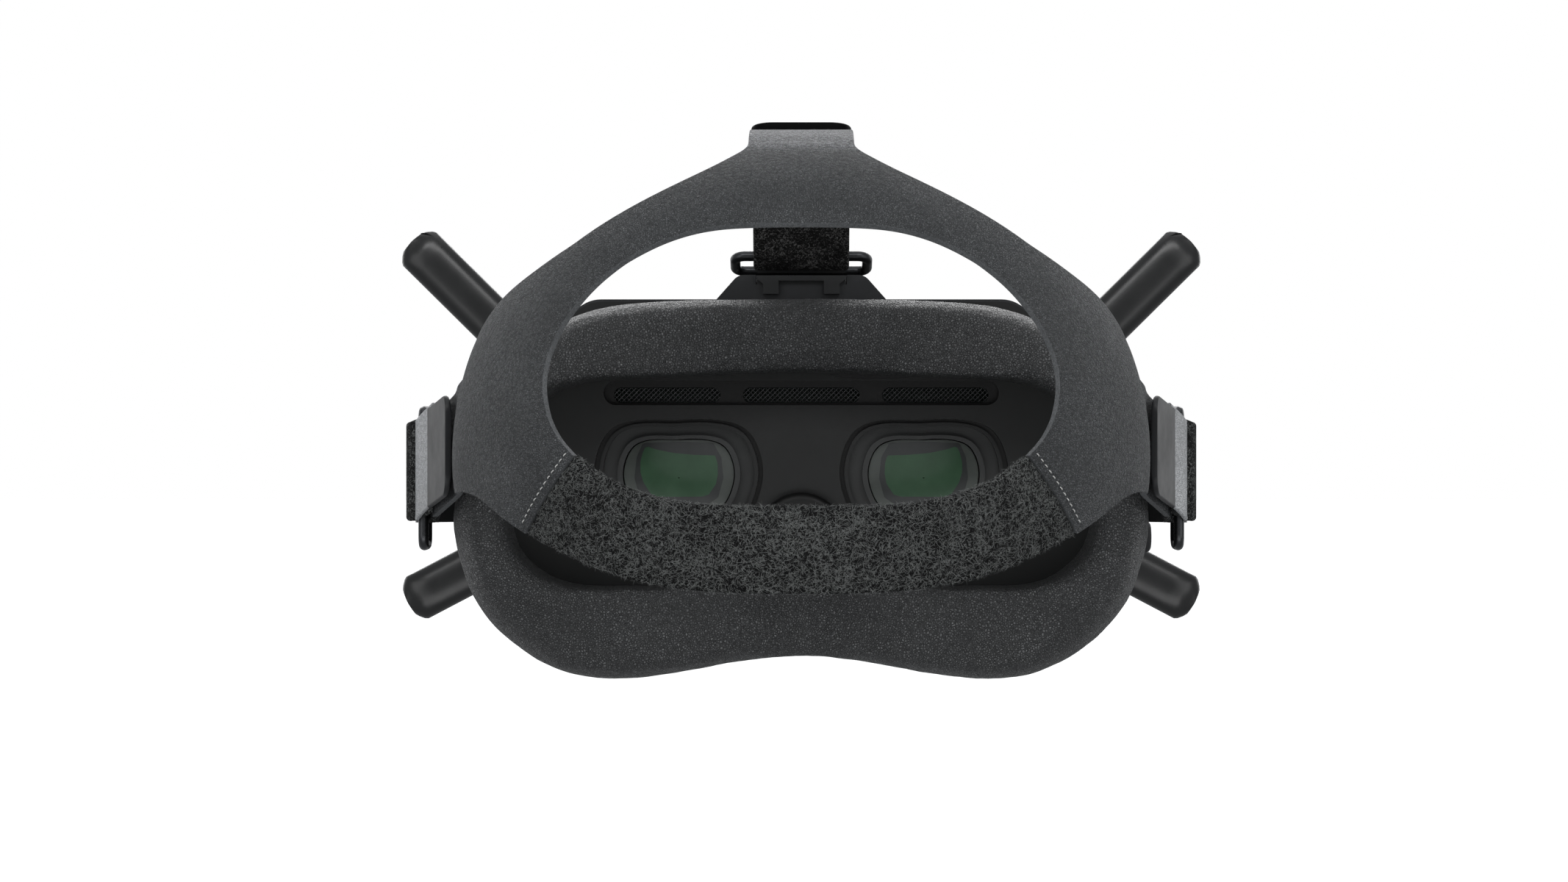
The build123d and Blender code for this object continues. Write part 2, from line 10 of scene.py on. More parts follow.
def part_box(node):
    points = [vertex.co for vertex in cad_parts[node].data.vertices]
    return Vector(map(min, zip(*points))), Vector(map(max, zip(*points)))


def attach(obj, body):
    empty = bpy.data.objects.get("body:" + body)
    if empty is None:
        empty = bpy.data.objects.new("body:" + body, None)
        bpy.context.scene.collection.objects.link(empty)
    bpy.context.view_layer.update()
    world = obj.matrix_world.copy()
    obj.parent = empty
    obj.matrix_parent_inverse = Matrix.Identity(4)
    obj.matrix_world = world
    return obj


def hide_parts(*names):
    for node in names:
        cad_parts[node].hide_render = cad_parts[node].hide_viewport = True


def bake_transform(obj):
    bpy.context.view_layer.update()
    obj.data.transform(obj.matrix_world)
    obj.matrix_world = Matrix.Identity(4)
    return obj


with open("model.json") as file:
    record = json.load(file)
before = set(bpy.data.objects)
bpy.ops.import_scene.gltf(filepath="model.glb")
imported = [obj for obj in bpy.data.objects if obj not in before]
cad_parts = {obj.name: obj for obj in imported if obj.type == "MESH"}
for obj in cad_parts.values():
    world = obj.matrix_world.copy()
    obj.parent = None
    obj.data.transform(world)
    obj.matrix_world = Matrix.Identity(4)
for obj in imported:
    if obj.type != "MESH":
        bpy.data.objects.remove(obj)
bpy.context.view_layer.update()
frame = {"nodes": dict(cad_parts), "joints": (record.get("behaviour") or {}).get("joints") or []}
nodes = frame["nodes"]

MM = 0.001
SENSOR = 36.0
IMAGE_WIDTH = 2133


def corners(node):
    """The lowest and highest corners of a CAD node's box, in millimetres."""
    low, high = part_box(node)
    return np.array(low) / MM, np.array(high) / MM


def middle(node):
    low, high = corners(node)
    return (low + high) / 2


# ---- curves ----
def through(points, per_span=24):
    """A dense smooth curve through points, as natural cubics over chord length."""
    p = np.array(points, float)
    steps = np.linalg.norm(np.diff(p, axis=0), axis=1)
    t = np.concatenate([[0], np.cumsum(steps)])
    n = len(p)
    a = np.eye(n)
    b = np.zeros_like(p)
    for i in range(1, n - 1):
        h0, h1 = t[i] - t[i - 1], t[i + 1] - t[i]
        a[i, i - 1:i + 2] = h0, 2 * (h0 + h1), h1
        b[i] = 6 * ((p[i + 1] - p[i]) / h1 - (p[i] - p[i - 1]) / h0)
    m = np.linalg.solve(a, b)
    out = []
    for i in range(n - 1):
        h = t[i + 1] - t[i]
        s = np.linspace(0, 1, per_span, endpoint=False)[:, None] * h
        left = p[i] + s * ((p[i + 1] - p[i]) / h - h * (2 * m[i] + m[i + 1]) / 6)
        out.append(left + s ** 2 * m[i] / 2 + s ** 3 * (m[i + 1] - m[i]) / (6 * h))
    out.append(p[-1:])
    return np.concatenate(out)


def even(curve, count):
    """count + 1 points, evenly spaced along a dense curve."""
    curve = np.array(curve, float)
    steps = np.linalg.norm(np.diff(curve, axis=0), axis=1)
    t = np.concatenate([[0], np.cumsum(steps)])
    s = np.linspace(0, t[-1], count + 1)
    return np.stack([np.interp(s, t, curve[:, k]) for k in range(curve.shape[1])], axis=1)


def smooth(points, count):
    return even(through(points), count)


def closed_smooth(points, count):
    """count evenly spaced points on a closed smooth curve through points."""
    p = list(points)
    wrap = 4
    dense = through(p[-wrap:] + p + p[:wrap + 1])
    return even(dense[24 * wrap:24 * (wrap + len(p)) + 1], count)[:-1]


def both_halves(points):
    """A closed outline from the points of its right half, top to bottom."""
    return list(points) + [(-x, z) for x, z in reversed(points) if x > 0.01]


def ease(value, low, high):
    t = np.clip((value - low) / (high - low), 0, 1)
    return t * t * (3 - 2 * t)


# ---- meshes ----
def make(name, verts, faces, body, material, replaced=()):
    """A mesh piece from millimetre points, riding on a body."""
    mesh = bpy.data.meshes.new(name)
    mesh.from_pydata([tuple(v) for v in np.array(verts, float) * MM], [], [tuple(f) for f in faces])
    mesh.validate()
    mesh.update()
    piece = bpy.data.objects.new(name, mesh)
    bpy.context.scene.collection.objects.link(piece)
    for one in (material if isinstance(material, (list, tuple)) else [material]):
        mesh.materials.append(one)
    mesh.polygons.foreach_set("use_smooth", [True] * len(mesh.polygons))
    mesh.set_sharp_from_angle(angle=math.radians(48))
    if body:
        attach(piece, body)
    if replaced:
        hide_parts(*replaced)
    return piece


def grid_faces(rows, columns, closed_rows=False, closed_columns=False, start=0):
    faces = []
    for i in range(rows if closed_rows else rows - 1):
        for j in range(columns if closed_columns else columns - 1):
            k, m = (i + 1) % rows, (j + 1) % columns
            faces.append((start + i * columns + j, start + k * columns + j,
                          start + k * columns + m, start + i * columns + m))
    return faces


def weld(piece, distance=0.02):
    mod = piece.modifiers.new("weld", "WELD")
    mod.merge_threshold = distance * MM


def points_of(mesh):
    """A mesh's points and their normals, as arrays in metres."""
    co, no = np.zeros((2, len(mesh.vertices) * 3))
    mesh.vertices.foreach_get("co", co)
    mesh.vertices.foreach_get("normal", no)
    return co.reshape(-1, 3), no.reshape(-1, 3)


def move_out(mesh, amounts):
    """Moves a mesh's points along their normals by those amounts in millimetres."""
    co, no = points_of(mesh)
    co += no * (amounts * MM)[:, None]
    mesh.vertices.foreach_set("co", co.ravel())
    mesh.update()


def subdivide(piece, levels=1):
    mod = piece.modifiers.new("smooth", "SUBSURF")
    mod.levels = mod.render_levels = levels


def apply_modifiers(piece):
    """Turns a piece's modifiers into plain mesh."""
    graph = bpy.context.evaluated_depsgraph_get()
    mesh = bpy.data.meshes.new_from_object(piece.evaluated_get(graph))
    piece.modifiers.clear()
    piece.data = mesh


def ribbon(path, across, half_widths, thicknesses, edge=0.45, around=5):
    """Points and faces of a strap along path. across is its width direction, and its edges are
    rounded by edge of the thickness."""
    path = np.array(path, float)
    n = len(path)
    across = np.array(across, float)
    half_widths = np.broadcast_to(half_widths, n)
    thicknesses = np.broadcast_to(thicknesses, n)
    tangent = np.gradient(path, axis=0)
    tangent /= np.linalg.norm(tangent, axis=1)[:, None]
    normal = np.cross(tangent, across)
    normal /= np.linalg.norm(normal, axis=1)[:, None]
    verts = []
    for i in range(n):
        w, t = half_widths[i], thicknesses[i] / 2
        r = min(t, w) * min(1, 2 * edge)
        section = []
        for quadrant, (sx, sy) in enumerate(((1, 1), (-1, 1), (-1, -1), (1, -1))):
            for k in range(around):
                a = math.pi / 2 * (quadrant + k / (around - 1))
                section.append((sx * (w - r) + r * math.cos(a), sy * (t - r) + r * math.sin(a)))
        for u, v in section:
            verts.append(path[i] + across * u + normal[i] * v)
    columns = 4 * around
    faces = [tuple(reversed(f)) for f in grid_faces(n, columns, closed_columns=True)]
    faces.append(tuple(reversed(range(columns))))
    faces.append(tuple(range((n - 1) * columns, n * columns)))
    return np.array(verts), faces


def round_ends(length, half, radius, count, tight=0.8):
    """Distances along a plate and its half widths there: round corners first, near square last."""
    a = np.linspace(0, math.pi / 2, count)
    near = [(radius * (1 - math.cos(x)), half - radius + radius * math.sin(x)) for x in a]
    far = [(length - tight * s / radius, half - tight * (1 - (w - half + radius) / radius))
           for s, w in reversed(near)]
    mid = [(radius + (length - radius - tight) * k / 6, half) for k in range(1, 6)]
    return np.array(near + mid + far)


def along(dense, distances):
    """Points on a dense curve at those distances from its start."""
    dense = np.array(dense, float)
    t = np.concatenate([[0], np.cumsum(np.linalg.norm(np.diff(dense, axis=0), axis=1))])
    return np.stack([np.interp(distances, t, dense[:, k]) for k in range(3)], axis=1)


# ---- materials ----
def srgb(r, g, b):
    """A colour given as 0 to 255 display values, in the shader's linear terms."""
    return tuple(((v / 255 + 0.055) / 1.055) ** 2.4 if v > 10 else v / 255 / 12.92
                 for v in (r, g, b)) + (1,)


def scaled(color, share):
    """A colour made darker or lighter by a share."""
    return tuple(min(1, c * share) for c in color[:3]) + (1,)


class Shader:
    """A principled material and short ways to add nodes to it."""

    def __init__(self, name, color, roughness, **numbers):
        self.material = bpy.data.materials.new(name)
        self.material.use_nodes = True
        self.tree = self.material.node_tree
        self.main = self.tree.nodes["Principled BSDF"]
        self.set("Base Color", color)
        self.set("Roughness", roughness)
        for socket, value in numbers.items():
            self.set(socket.replace("_", " "), value)
        self.where = self.add("ShaderNodeTexCoord").outputs["Object"]

    def set(self, socket, value):
        self.main.inputs[socket].default_value = value

    def add(self, kind, **settings):
        node = self.tree.nodes.new(kind)
        for key, value in settings.items():
            setattr(node, key, value)
        return node

    def link(self, a, b):
        self.tree.links.new(a, b)

    def noise(self, size_mm, detail=3.0, rough=0.5, vector=None, distortion=0.0):
        node = self.add("ShaderNodeTexNoise")
        node.inputs["Scale"].default_value = 1000 / size_mm
        node.inputs["Detail"].default_value = detail
        node.inputs["Roughness"].default_value = rough
        node.inputs["Distortion"].default_value = distortion
        self.link(vector or self.where, node.inputs["Vector"])
        return node.outputs["Fac"]

    def cells(self, size_mm, feature="F1", vector=None, smoothness=None):
        node = self.add("ShaderNodeTexVoronoi", feature=feature)
        node.inputs["Scale"].default_value = 1000 / size_mm
        if smoothness is not None:
            node.inputs["Smoothness"].default_value = smoothness
        self.link(vector or self.where, node.inputs["Vector"])
        return node.outputs["Distance"]

    def stretched(self, x, y, z):
        node = self.add("ShaderNodeMapping")
        node.inputs["Scale"].default_value = (x, y, z)
        self.link(self.where, node.inputs["Vector"])
        return node.outputs["Vector"]

    def warped(self, size_mm, amount_mm, vector=None):
        """Coordinates pushed about by noise."""
        node = self.add("ShaderNodeTexNoise")
        node.inputs["Scale"].default_value = 1000 / size_mm
        self.link(vector or self.where, node.inputs["Vector"])
        mix = self.add("ShaderNodeVectorMath", operation="MULTIPLY_ADD")
        self.link(node.outputs["Color"], mix.inputs[0])
        mix.inputs[1].default_value = (amount_mm * MM,) * 3
        self.link(vector or self.where, mix.inputs[2])
        return mix.outputs["Vector"]

    def ramp(self, value, *stops):
        node = self.add("ShaderNodeValToRGB")
        while len(node.color_ramp.elements) < len(stops):
            node.color_ramp.elements.new(0.5)
        for element, (place, color) in zip(node.color_ramp.elements, stops):
            element.position = place
            element.color = color if hasattr(color, "__len__") else (color, color, color, 1)
        self.link(value, node.inputs["Fac"])
        return node.outputs["Color"]

    def span(self, value, low, high, out_low, out_high):
        node = self.add("ShaderNodeMapRange")
        numbers = {"From Min": low, "From Max": high, "To Min": out_low, "To Max": out_high}
        for socket, number in numbers.items():
            node.inputs[socket].default_value = number
        self.link(value, node.inputs["Value"])
        return node.outputs["Result"]

    def math(self, operation, a, b):
        node = self.add("ShaderNodeMath", operation=operation)
        for socket, value in zip(node.inputs, (a, b)):
            if hasattr(value, "is_linked"):
                self.link(value, socket)
            else:
                socket.default_value = value
        return node.outputs["Value"]

    def mix(self, share, a, b, blend="MIX"):
        node = self.add("ShaderNodeMix", data_type="RGBA", blend_type=blend)
        for socket, value in ((node.inputs[0], share), (node.inputs[6], a), (node.inputs[7], b)):
            if hasattr(value, "is_linked"):
                self.link(value, socket)
            else:
                socket.default_value = value
        return node.outputs[2]

    def bump(self, *layers):
        """Stacked bumps, each (height, strength, depth in mm), fed to the shader's normal."""
        last = None
        for height, strength, depth in layers:
            node = self.add("ShaderNodeBump")
            node.inputs["Strength"].default_value = strength
            node.inputs["Distance"].default_value = depth * MM
            self.link(height, node.inputs["Height"])
            if last is not None:
                self.link(last, node.inputs["Normal"])
            last = node.outputs["Normal"]
        self.link(last, self.main.inputs["Normal"])

    def color(self, value):
        self.link(value, self.main.inputs["Base Color"])

    def roughness(self, value):
        self.link(value, self.main.inputs["Roughness"])


def plastic(name, color, roughness=0.5, grain=0.35, depth=0.02, coat=0.0, shine=0.35):
    """Moulded plastic: spark-eroded grain, faint cloudiness and edges rubbed a little lighter."""
    s = Shader(name, color, roughness, Coat_Weight=coat, Coat_Roughness=0.25, Specular_IOR_Level=shine)
    fine = s.noise(grain, 2.0)
    broad = s.noise(9.0, 4.0, 0.6)
    s.bump((fine, 0.5, depth), (s.noise(14.0, 2.0), 0.15, 0.1))
    edge = s.span(s.add("ShaderNodeNewGeometry").outputs["Pointiness"], 0.52, 0.62, 0.0, 0.25)
    light = tuple(min(1, c * 2.2 + 0.01) for c in color[:3]) + (1,)
    cloudy = s.mix(s.span(broad, 0.3, 0.7, 0, 1), scaled(color, 0.82), color)
    s.color(s.mix(edge, cloudy, light))
    s.roughness(s.span(broad, 0.3, 0.7, roughness - 0.05, roughness + 0.07))
    return s.material


def leather(name, color, pebble=0.9, relief=0.16, roughness=0.5, wrinkles=0.3, shine=0.4, crown_folds_and_highlight=False):
    """Soft synthetic leather: rounded pebbles parted by creases darkened with painted shade, with slow
    changes of shade.
    """
    s = Shader(name, color, roughness, Specular_IOR_Level=shine)
    bent = s.warped(pebble * 2.2, pebble * 0.9)
    pebbles = s.cells(pebble, "SMOOTH_F1", bent, 0.35)
    small = s.cells(pebble * 0.55, "DISTANCE_TO_EDGE", bent)
    creases = s.noise(pebble * 7, 5.0, 0.65, distortion=0.8)
    height = s.math("SUBTRACT", s.span(small, 0.0, 0.25, 0.0, 1.0), s.span(pebbles, 0.0, 0.8, 0.0, 1.0))
    layers = [(s.noise(26.0, 2.0), 0.25, wrinkles * 4), (creases, 0.35, wrinkles), (height, 1.0, relief)]
    slow = s.span(s.noise(18.0, 4.0, 0.6), 0.3, 0.7, 0, 1)
    shade = s.mix(slow, scaled(color, 0.82), scaled(color, 1.2))
    if crown_folds_and_highlight:
        bend, folds = crown_bend(s)
        layers.insert(0, (folds, 1.0, 3.0))
        # Painted highlight: the top-facing band over the crown is painted much lighter, standing in for the
        # top light on it.
        shade = s.mix(bend, shade, srgb(142, 144, 148))
    s.bump(*layers)
    # Painted shade: low ground between the pebbles is darkened towards half the colour.
    s.color(s.mix(s.span(height, -0.6, 0.5, 0.8, 0.0), shade, scaled(color, 0.5)))
    s.roughness(s.span(height, -0.5, 0.6, roughness + 0.12, roughness - 0.08))
    return s.material


def crown_bend(s):
    """Where the strap bends over the crown, the mask of its painted highlight, and the cross creases it has
    there and nowhere else.
    """
    split = s.add("ShaderNodeSeparateXYZ")
    s.link(s.where, split.inputs[0])
    bend = s.span(split.outputs["Z"], 78.6 * MM, 80.6 * MM, 0.0, 1.0)
    near = s.math("ABSOLUTE", s.math("ADD", split.outputs["Y"], 93 * MM), 0.0)
    here = s.math("SUBTRACT", 1.0, s.span(near, 6 * MM, 14 * MM, 0.0, 1.0))
    folds = s.noise(3.4, 3.0, 0.55, s.stretched(0.22, 1.0, 1.0), 0.6)
    return bend, s.math("MULTIPLY", folds, s.math("MULTIPLY", bend, here))


def fleece(name, dark, mid, light):
    """Brushed loop fabric: matted streaks of dark and pale fibre with a short soft pile."""
    s = Shader(name, mid, 0.95, Sheen_Weight=0.12, Sheen_Roughness=0.6, Specular_IOR_Level=0.2)
    s.set("Sheen Tint", light)
    swirl = s.warped(1.7, 1.3)
    streaks = s.noise(0.80, 2.0, 0.6, swirl, 1.6)
    flecks = s.noise(0.44, 2.0, 0.6, swirl, 0.8)
    patches = s.noise(6.5, 3.0, 0.6)
    both = s.math("ADD", s.math("MULTIPLY", streaks, 0.62), s.math("MULTIPLY", flecks, 0.38))
    lifted = s.math("ADD", both, s.span(patches, 0.3, 0.7, -0.045, 0.045))
    s.color(s.ramp(lifted, (0.445, dark), (0.512, mid), (0.605, light)))
    s.bump((streaks, 0.9, 0.35), (flecks, 0.8, 0.2))
    return s.material


def metal(name, color, roughness=0.35, metallic=1.0, brushed=(1, 1, 1)):
    s = Shader(name, color, roughness, Metallic=metallic)
    streak = s.noise(0.6, 3.0, 0.6, s.stretched(*brushed))
    broad = s.noise(7.0, 3.0)
    s.bump((streak, 0.25, 0.02))
    cloudy = s.span(broad, 0.3, 0.7, roughness - 0.04, roughness + 0.06)
    s.roughness(s.math("ADD", s.span(streak, 0.3, 0.7, -0.06, 0.08), cloudy))
    return s.material


def circuit(name):
    """Green solder mask with tracks and pads."""
    mask = srgb(20, 74, 48)
    s = Shader(name, mask, 0.35, Coat_Weight=0.4, Coat_Roughness=0.2)
    brick = s.add("ShaderNodeTexBrick")
    brick.inputs["Scale"].default_value = 260
    upright = s.add("ShaderNodeMapping")
    upright.inputs["Rotation"].default_value = (math.pi / 2, 0, 0)
    s.link(s.where, upright.inputs["Vector"])
    s.link(upright.outputs["Vector"], brick.inputs["Vector"])
    tracks = s.span(s.cells(1.6, "DISTANCE_TO_EDGE", upright.outputs["Vector"]), 0.02, 0.06, 1, 0)
    s.color(s.mix(tracks, mask, srgb(70, 120, 76)))
    s.bump((tracks, 0.4, 0.05), (brick.outputs["Fac"], 0.2, 0.03))
    return s.material


def plate(name, color):
    """The plate's plastic, with painted shade: near black at the bottom of its recess and grooves."""
    s = Shader(name, color, 0.5, Specular_IOR_Level=0.35)
    split = s.add("ShaderNodeSeparateXYZ")
    s.link(s.where, split.inputs[0])
    # Painted shade: surfaces set back beyond Y -0.55 mm, the recess floor and grooves, go near black.
    depth = s.span(split.outputs["Y"], -0.80 * MM, -0.55 * MM, 0.0, 1.0)
    cloudy = s.mix(s.span(s.noise(9.0, 4.0, 0.6), 0.3, 0.7, 0, 1), scaled(color, 0.82), color)
    s.color(s.mix(depth, cloudy, srgb(4, 4, 4)))
    s.bump((s.noise(0.4, 2.0), 0.5, 0.02), (s.noise(14.0, 2.0), 0.15, 0.1))
    return s.material


MATERIALS = {
    "case": plastic("case_plastic", srgb(34, 35, 37), 0.42),
    "cover": plastic("cover_plastic", srgb(44, 46, 50), 0.34, 0.5, 0.012, coat=0.25),
    "plate": plate("plate_plastic", srgb(24, 25, 25)),
    "barrel": plastic("barrel_plastic", srgb(44, 45, 45), 0.42, 0.4, 0.01),
    "dome": plastic("nose_plastic", srgb(9, 10, 10), 0.5, 0.4, 0.012),
    "dark": plastic("dark_plastic", srgb(14, 14, 15), 0.55),
    "antenna": plastic("antenna_plastic", srgb(10, 11, 12), 0.34, 0.5, 0.0008, coat=0.35),
    "bracket": plastic("bracket_plastic", srgb(28, 29, 30), 0.42),
    "tab": plastic("tab_plastic", srgb(26, 27, 29), 0.5, 0.5, 0.008),
    # Painted shade: a near-black copy of the tab plastic for the top tab, whose end face stands in shadow.
    "painted_shade_tab": plastic("painted_shade_tab_plastic", srgb(5, 5, 6), 0.5, 0.5, 0.008, shine=0.05),
    "rubber": plastic("button_rubber", srgb(36, 36, 38), 0.72, 0.6, 0.03),
    "knob": plastic("knob_plastic", srgb(38, 39, 40), 0.5),
    "pad": leather("pad_leather", srgb(96, 97, 98), 1.15, 0.9, 0.46, 0.8, 0.35),
    "strap": leather("strap_leather", srgb(90, 92, 94), 0.95, 0.6, 0.55, 0.30, 0.2, crown_folds_and_highlight=True),
    "strap_edge": leather("strap_edge_leather", srgb(96, 98, 100), 0.6, 0.05, 0.6, 0.1, 0.2),
    # Painted highlight: the strap's tip is the strap leather painted far lighter, standing in for the light
    # it catches at the ring.
    "tip": leather("painted_highlight_tip_leather", srgb(198, 200, 203), 0.7, 0.2, 0.42, 0.5),
    "fleece": fleece("fleece_fabric", srgb(4, 4, 5), srgb(6, 6, 7), srgb(86, 88, 87)),
    "dark_fleece": fleece("dark_fleece_fabric", srgb(4, 4, 4), srgb(18, 18, 18), srgb(94, 94, 93)),
    "fibre": plastic("pale_fibre", srgb(106, 108, 107), 0.9, 0.4, 0.01),
    "thread": plastic("pale_thread", srgb(168, 168, 166), 0.8, 0.25, 0.05),
    "wire": metal("ring_wire", srgb(60, 61, 63), 0.3, 0.85, (1, 1, 1)),
    "steel": metal("screw_steel", srgb(120, 121, 124), 0.32),
    "sink": metal("heat_sink_metal", srgb(150, 152, 156), 0.4, 1.0, (1, 8, 1)),
    "mesh": plastic("vent_wire", srgb(56, 57, 58), 0.45, 1.0, 0.01),
    "socket": metal("socket_metal", srgb(84, 85, 88), 0.35, 0.9),
    "board": circuit("circuit_board"),
    "screen": plastic("screen_glass", srgb(22, 25, 27), 0.12, 1.5, 0.002, coat=0.8),
    "reflection": plastic("green_coating_reflection", srgb(51, 78, 57), 0.16, 2.0, 0.001, coat=0.5),
    "glass_rim": plastic("lens_surround", srgb(70, 74, 71), 0.18, 2.0, 0.001, coat=0.4),
    "glass_shade": plastic("lens_shade", srgb(52, 54, 54), 0.16, 2.0, 0.001, coat=0.5),
}

# pad_frame takes the near-black dark plastic partly as painted shade for the deep gap behind the face pad.
NODE_MATERIALS = {
    "rear_housing": "case", "front_housing": "case", "front_cover": "cover", "intake_grille": "dark",
    "face_plate": "plate", "pad_frame": "dark", "nose_shield": "dome", "strap_brackets": "bracket",
    "main_board": "board", "heat_sink": "sink", "fan_housing": "dark", "fan_rotor": "dark",
    "channel_display": "screen", "housing_screws": "steel", "guide_rods": "steel", "dc_jack": "socket",
    "audio_jack": "socket", "usb_port": "socket", "card_slot": "socket", "joystick_housing": "dark",
    "joystick_gimbal": "dark", "joystick_stem": "dark", "joystick_cap": "rubber", "antenna_sockets": "dark",
    "key_switches": "dark", "record_button": "rubber", "back_button": "rubber",
    "channel_up_button": "rubber", "channel_down_button": "rubber", "link_button": "rubber",
    "top_ring": "wire", "left_ring": "wire", "right_ring": "wire", "vent_meshes": "mesh",
    "lens_barrel": "barrel", "lens_": "glass_shade", "display": "screen", "ipd_knob": "knob",
    "antenna_shell": "antenna", "antenna_element": "board", "back_strap": "strap", "fleece_pad": "fleece",
    "loop": "fleece", "pull_tabs": "tab", "face_pad": "pad",
}
BEVELS = {"rear_housing": 0.7, "front_housing": 0.5, "front_cover": 0.5, "face_plate": 0.2,
          "strap_brackets": 0.35, "pad_frame": 0.4, "lens_barrel": 0.3, "intake_grille": 0.2, "ipd_knob": 0.2,
          "antenna_sockets": 0.3, "heat_sink": 0.15, "main_board": 0.15, "usb_port": 0.1, "dc_jack": 0.2,
          "channel_display": 0.3, "housing_screws": 0.15}


def best_key(table, name):
    """The entry for a node: its own name, or the longest stem it starts with."""
    stems = [k for k in table if name.startswith(k)]
    return table[max(stems, key=len)] if stems else None


def dress_frame():
    """Materials and rounded edges for every CAD node."""
    for name, node in nodes.items():
        node.data.materials.clear()
        node.data.materials.append(MATERIALS[best_key(NODE_MATERIALS, name)])
        width = best_key(BEVELS, name)
        if width:
            mod = node.modifiers.new("edges", "BEVEL")
            mod.width = width * MM
            mod.segments = 3
            mod.limit_method = "ANGLE"
            mod.angle_limit = math.radians(38)
            mod.harden_normals = False


# ---- face pad ----
# Right halves of the outlines, as X and Z; the plan of the pad's ridge, as X and Y.
PAD_OUTSIDE = [(0, 46.8), (36, 46.2), (49, 45.0), (60, 41.9), (77, 27.8), (86.3, 8.5), (90.6, -9.5),
               (88.8, -22), (84.3, -33), (73, -44.8), (60, -50.9), (48, -52.3), (22, -48.9), (0, -46.6)]
PAD_INSIDE = [(0, 27.8), (45, 26.2), (64, 22.6), (75, 9), (76.6, -6), (74, -18.5), (63, -27), (46, -28.4),
              (28, -27), (14, -20.5), (0, -18.2)]
PAD_FRONT = middle("pad_frame")[1] - 2.0
PAD_MIDDLE = np.array((0.0, -4.0))
PAD_PLAN = [(0, -21.8), (20, -22.6), (35, -24.5), (50, -27.4), (62, -30.2), (76, -32.6), (85, -32.6),
            (95, -31)]


def curve_at(points, values):
    dense = through(points, 40)
    return np.interp(values, dense[:, 0], dense[:, 1])


def pad_depth(x, z):
    """How far back the pad reaches at x and z: shallow at the brow and nose, deep at the temples."""
    back = curve_at(PAD_PLAN, abs(x))
    nose = 9.0 * math.exp(-(x / 17.0) ** 2) * float(ease(-z, 14, 34))
    return back + nose


def by_angle(outline, angles, hub=(0.0, 0.0)):
    """Where rays at those angles from a hub cross a closed outline."""
    d = outline - np.array(hub)
    a = np.arctan2(d[:, 0], d[:, 1])
    r = np.linalg.norm(d, axis=1)
    order = np.argsort(a)
    a, r = a[order], r[order]
    a = np.concatenate([a - 2 * math.pi, a, a + 2 * math.pi])
    reach = np.interp(angles, a, np.tile(r, 3))
    return np.array(hub) + np.stack([np.sin(angles), np.cos(angles)], axis=1) * reach[:, None]


def cut_corners(line, rounds=3):
    """Rounds an open line by cutting its corners again and again."""
    p = np.array(line, float)
    for _ in range(rounds):
        near, far = p[:-1] * 0.75 + p[1:] * 0.25, p[:-1] * 0.25 + p[1:] * 0.75
        p = np.concatenate([p[:1], np.stack([near, far], axis=1).reshape(-1, p.shape[1]), p[-1:]])
    return p


def pad_section(width, crest, ridge, drop):
    """Inset and Y along the pad's cover: up the outer wall to the ridge, and in over the face."""
    deep = ridge - PAD_FRONT
    wall = [(0.4, PAD_FRONT), (-0.5, PAD_FRONT + 0.45 * deep), (0.22 * crest, PAD_FRONT + 0.80 * deep),
            (0.60 * crest, PAD_FRONT + 0.955 * deep), (crest, ridge)]
    face = [(crest + 0.5 * (width - crest), ridge + 0.35 * drop), (width - 1.6, ridge + drop),
            (width - 0.1, ridge + drop + 2.2), (width, PAD_FRONT)]
    return cut_corners(wall + face)


def face_pad():
    """The foam ring: a wall that rises to a ridge, then a broad face that slopes to the opening."""
    count = 320
    outer = closed_smooth(both_halves(PAD_OUTSIDE), count)
    angles = np.arctan2(outer[:, 0], outer[:, 1] - PAD_MIDDLE[1])
    inner = by_angle(closed_smooth(both_halves(PAD_INSIDE), 1200), angles, PAD_MIDDLE)
    verts = []
    for o, i in zip(outer, inner):
        width = np.linalg.norm(i - o)
        side = float(ease(abs(o[0]), 60, 84))
        top = float(ease(o[1], -10, 25)) * (1 - side)
        crest = width * (0.17 + 0.45 * side + 0.07 * top)
        inward = (i - o) / width
        x, z = o + inward * crest
        for inset, y in pad_section(width, crest, pad_depth(x, z), 4.2 - 2.2 * side - 0.8 * top):
            x, z = o + inward * inset
            verts.append((x, y, z))
    across = len(verts) // count
    faces = [tuple(reversed(f)) for f in grid_faces(count, across, closed_rows=True)]
    for j in range(count):
        k = (j + 1) % count
        faces.append((j * across, j * across + across - 1, k * across + across - 1, k * across))
    pad = make("face_pad_leather", verts, faces, "visor", MATERIALS["pad"], ["face_pad"])
    soften(pad, 0.16, 9.0, 3)


def soften(piece, height, size, seed):
    """Shallow unevenness of padding under its cover, height mm high over size mm."""
    co = points_of(piece.data)[0]
    random = np.random.default_rng(seed)
    bump = np.zeros(len(co))
    for octave in range(1, 4):
        for _ in range(5):
            wave = random.normal(size=3) * 2 * math.pi / (size * MM) * octave * 0.55
            bump += np.sin(co @ wave + random.uniform(0, 6.28)) / octave / 5
    move_out(piece.data, bump * height)


# ---- headband ----
# The strap's back lies on an ellipsoid, the head shape; its outlines are lists of X and Z.
HEAD = np.array((0.0, -70.0, 5.5))
HEAD_RADII = np.array((86.0, 80.5, 80.5))
ROOT_Y = -72.0
STRAP_HALF = 12.75
BAR_R = 1.35
LEATHER = 1.5
FLEECE = 2.0


def on_head(x, z):
    """The point of the head shape's back seen at x and z."""
    ux, uz = x / HEAD_RADII[0], (z - HEAD[2]) / HEAD_RADII[2]
    uy = -math.sqrt(max(0.0, 1 - ux * ux - uz * uz))
    return HEAD + HEAD_RADII * np.array((ux, uy, uz))


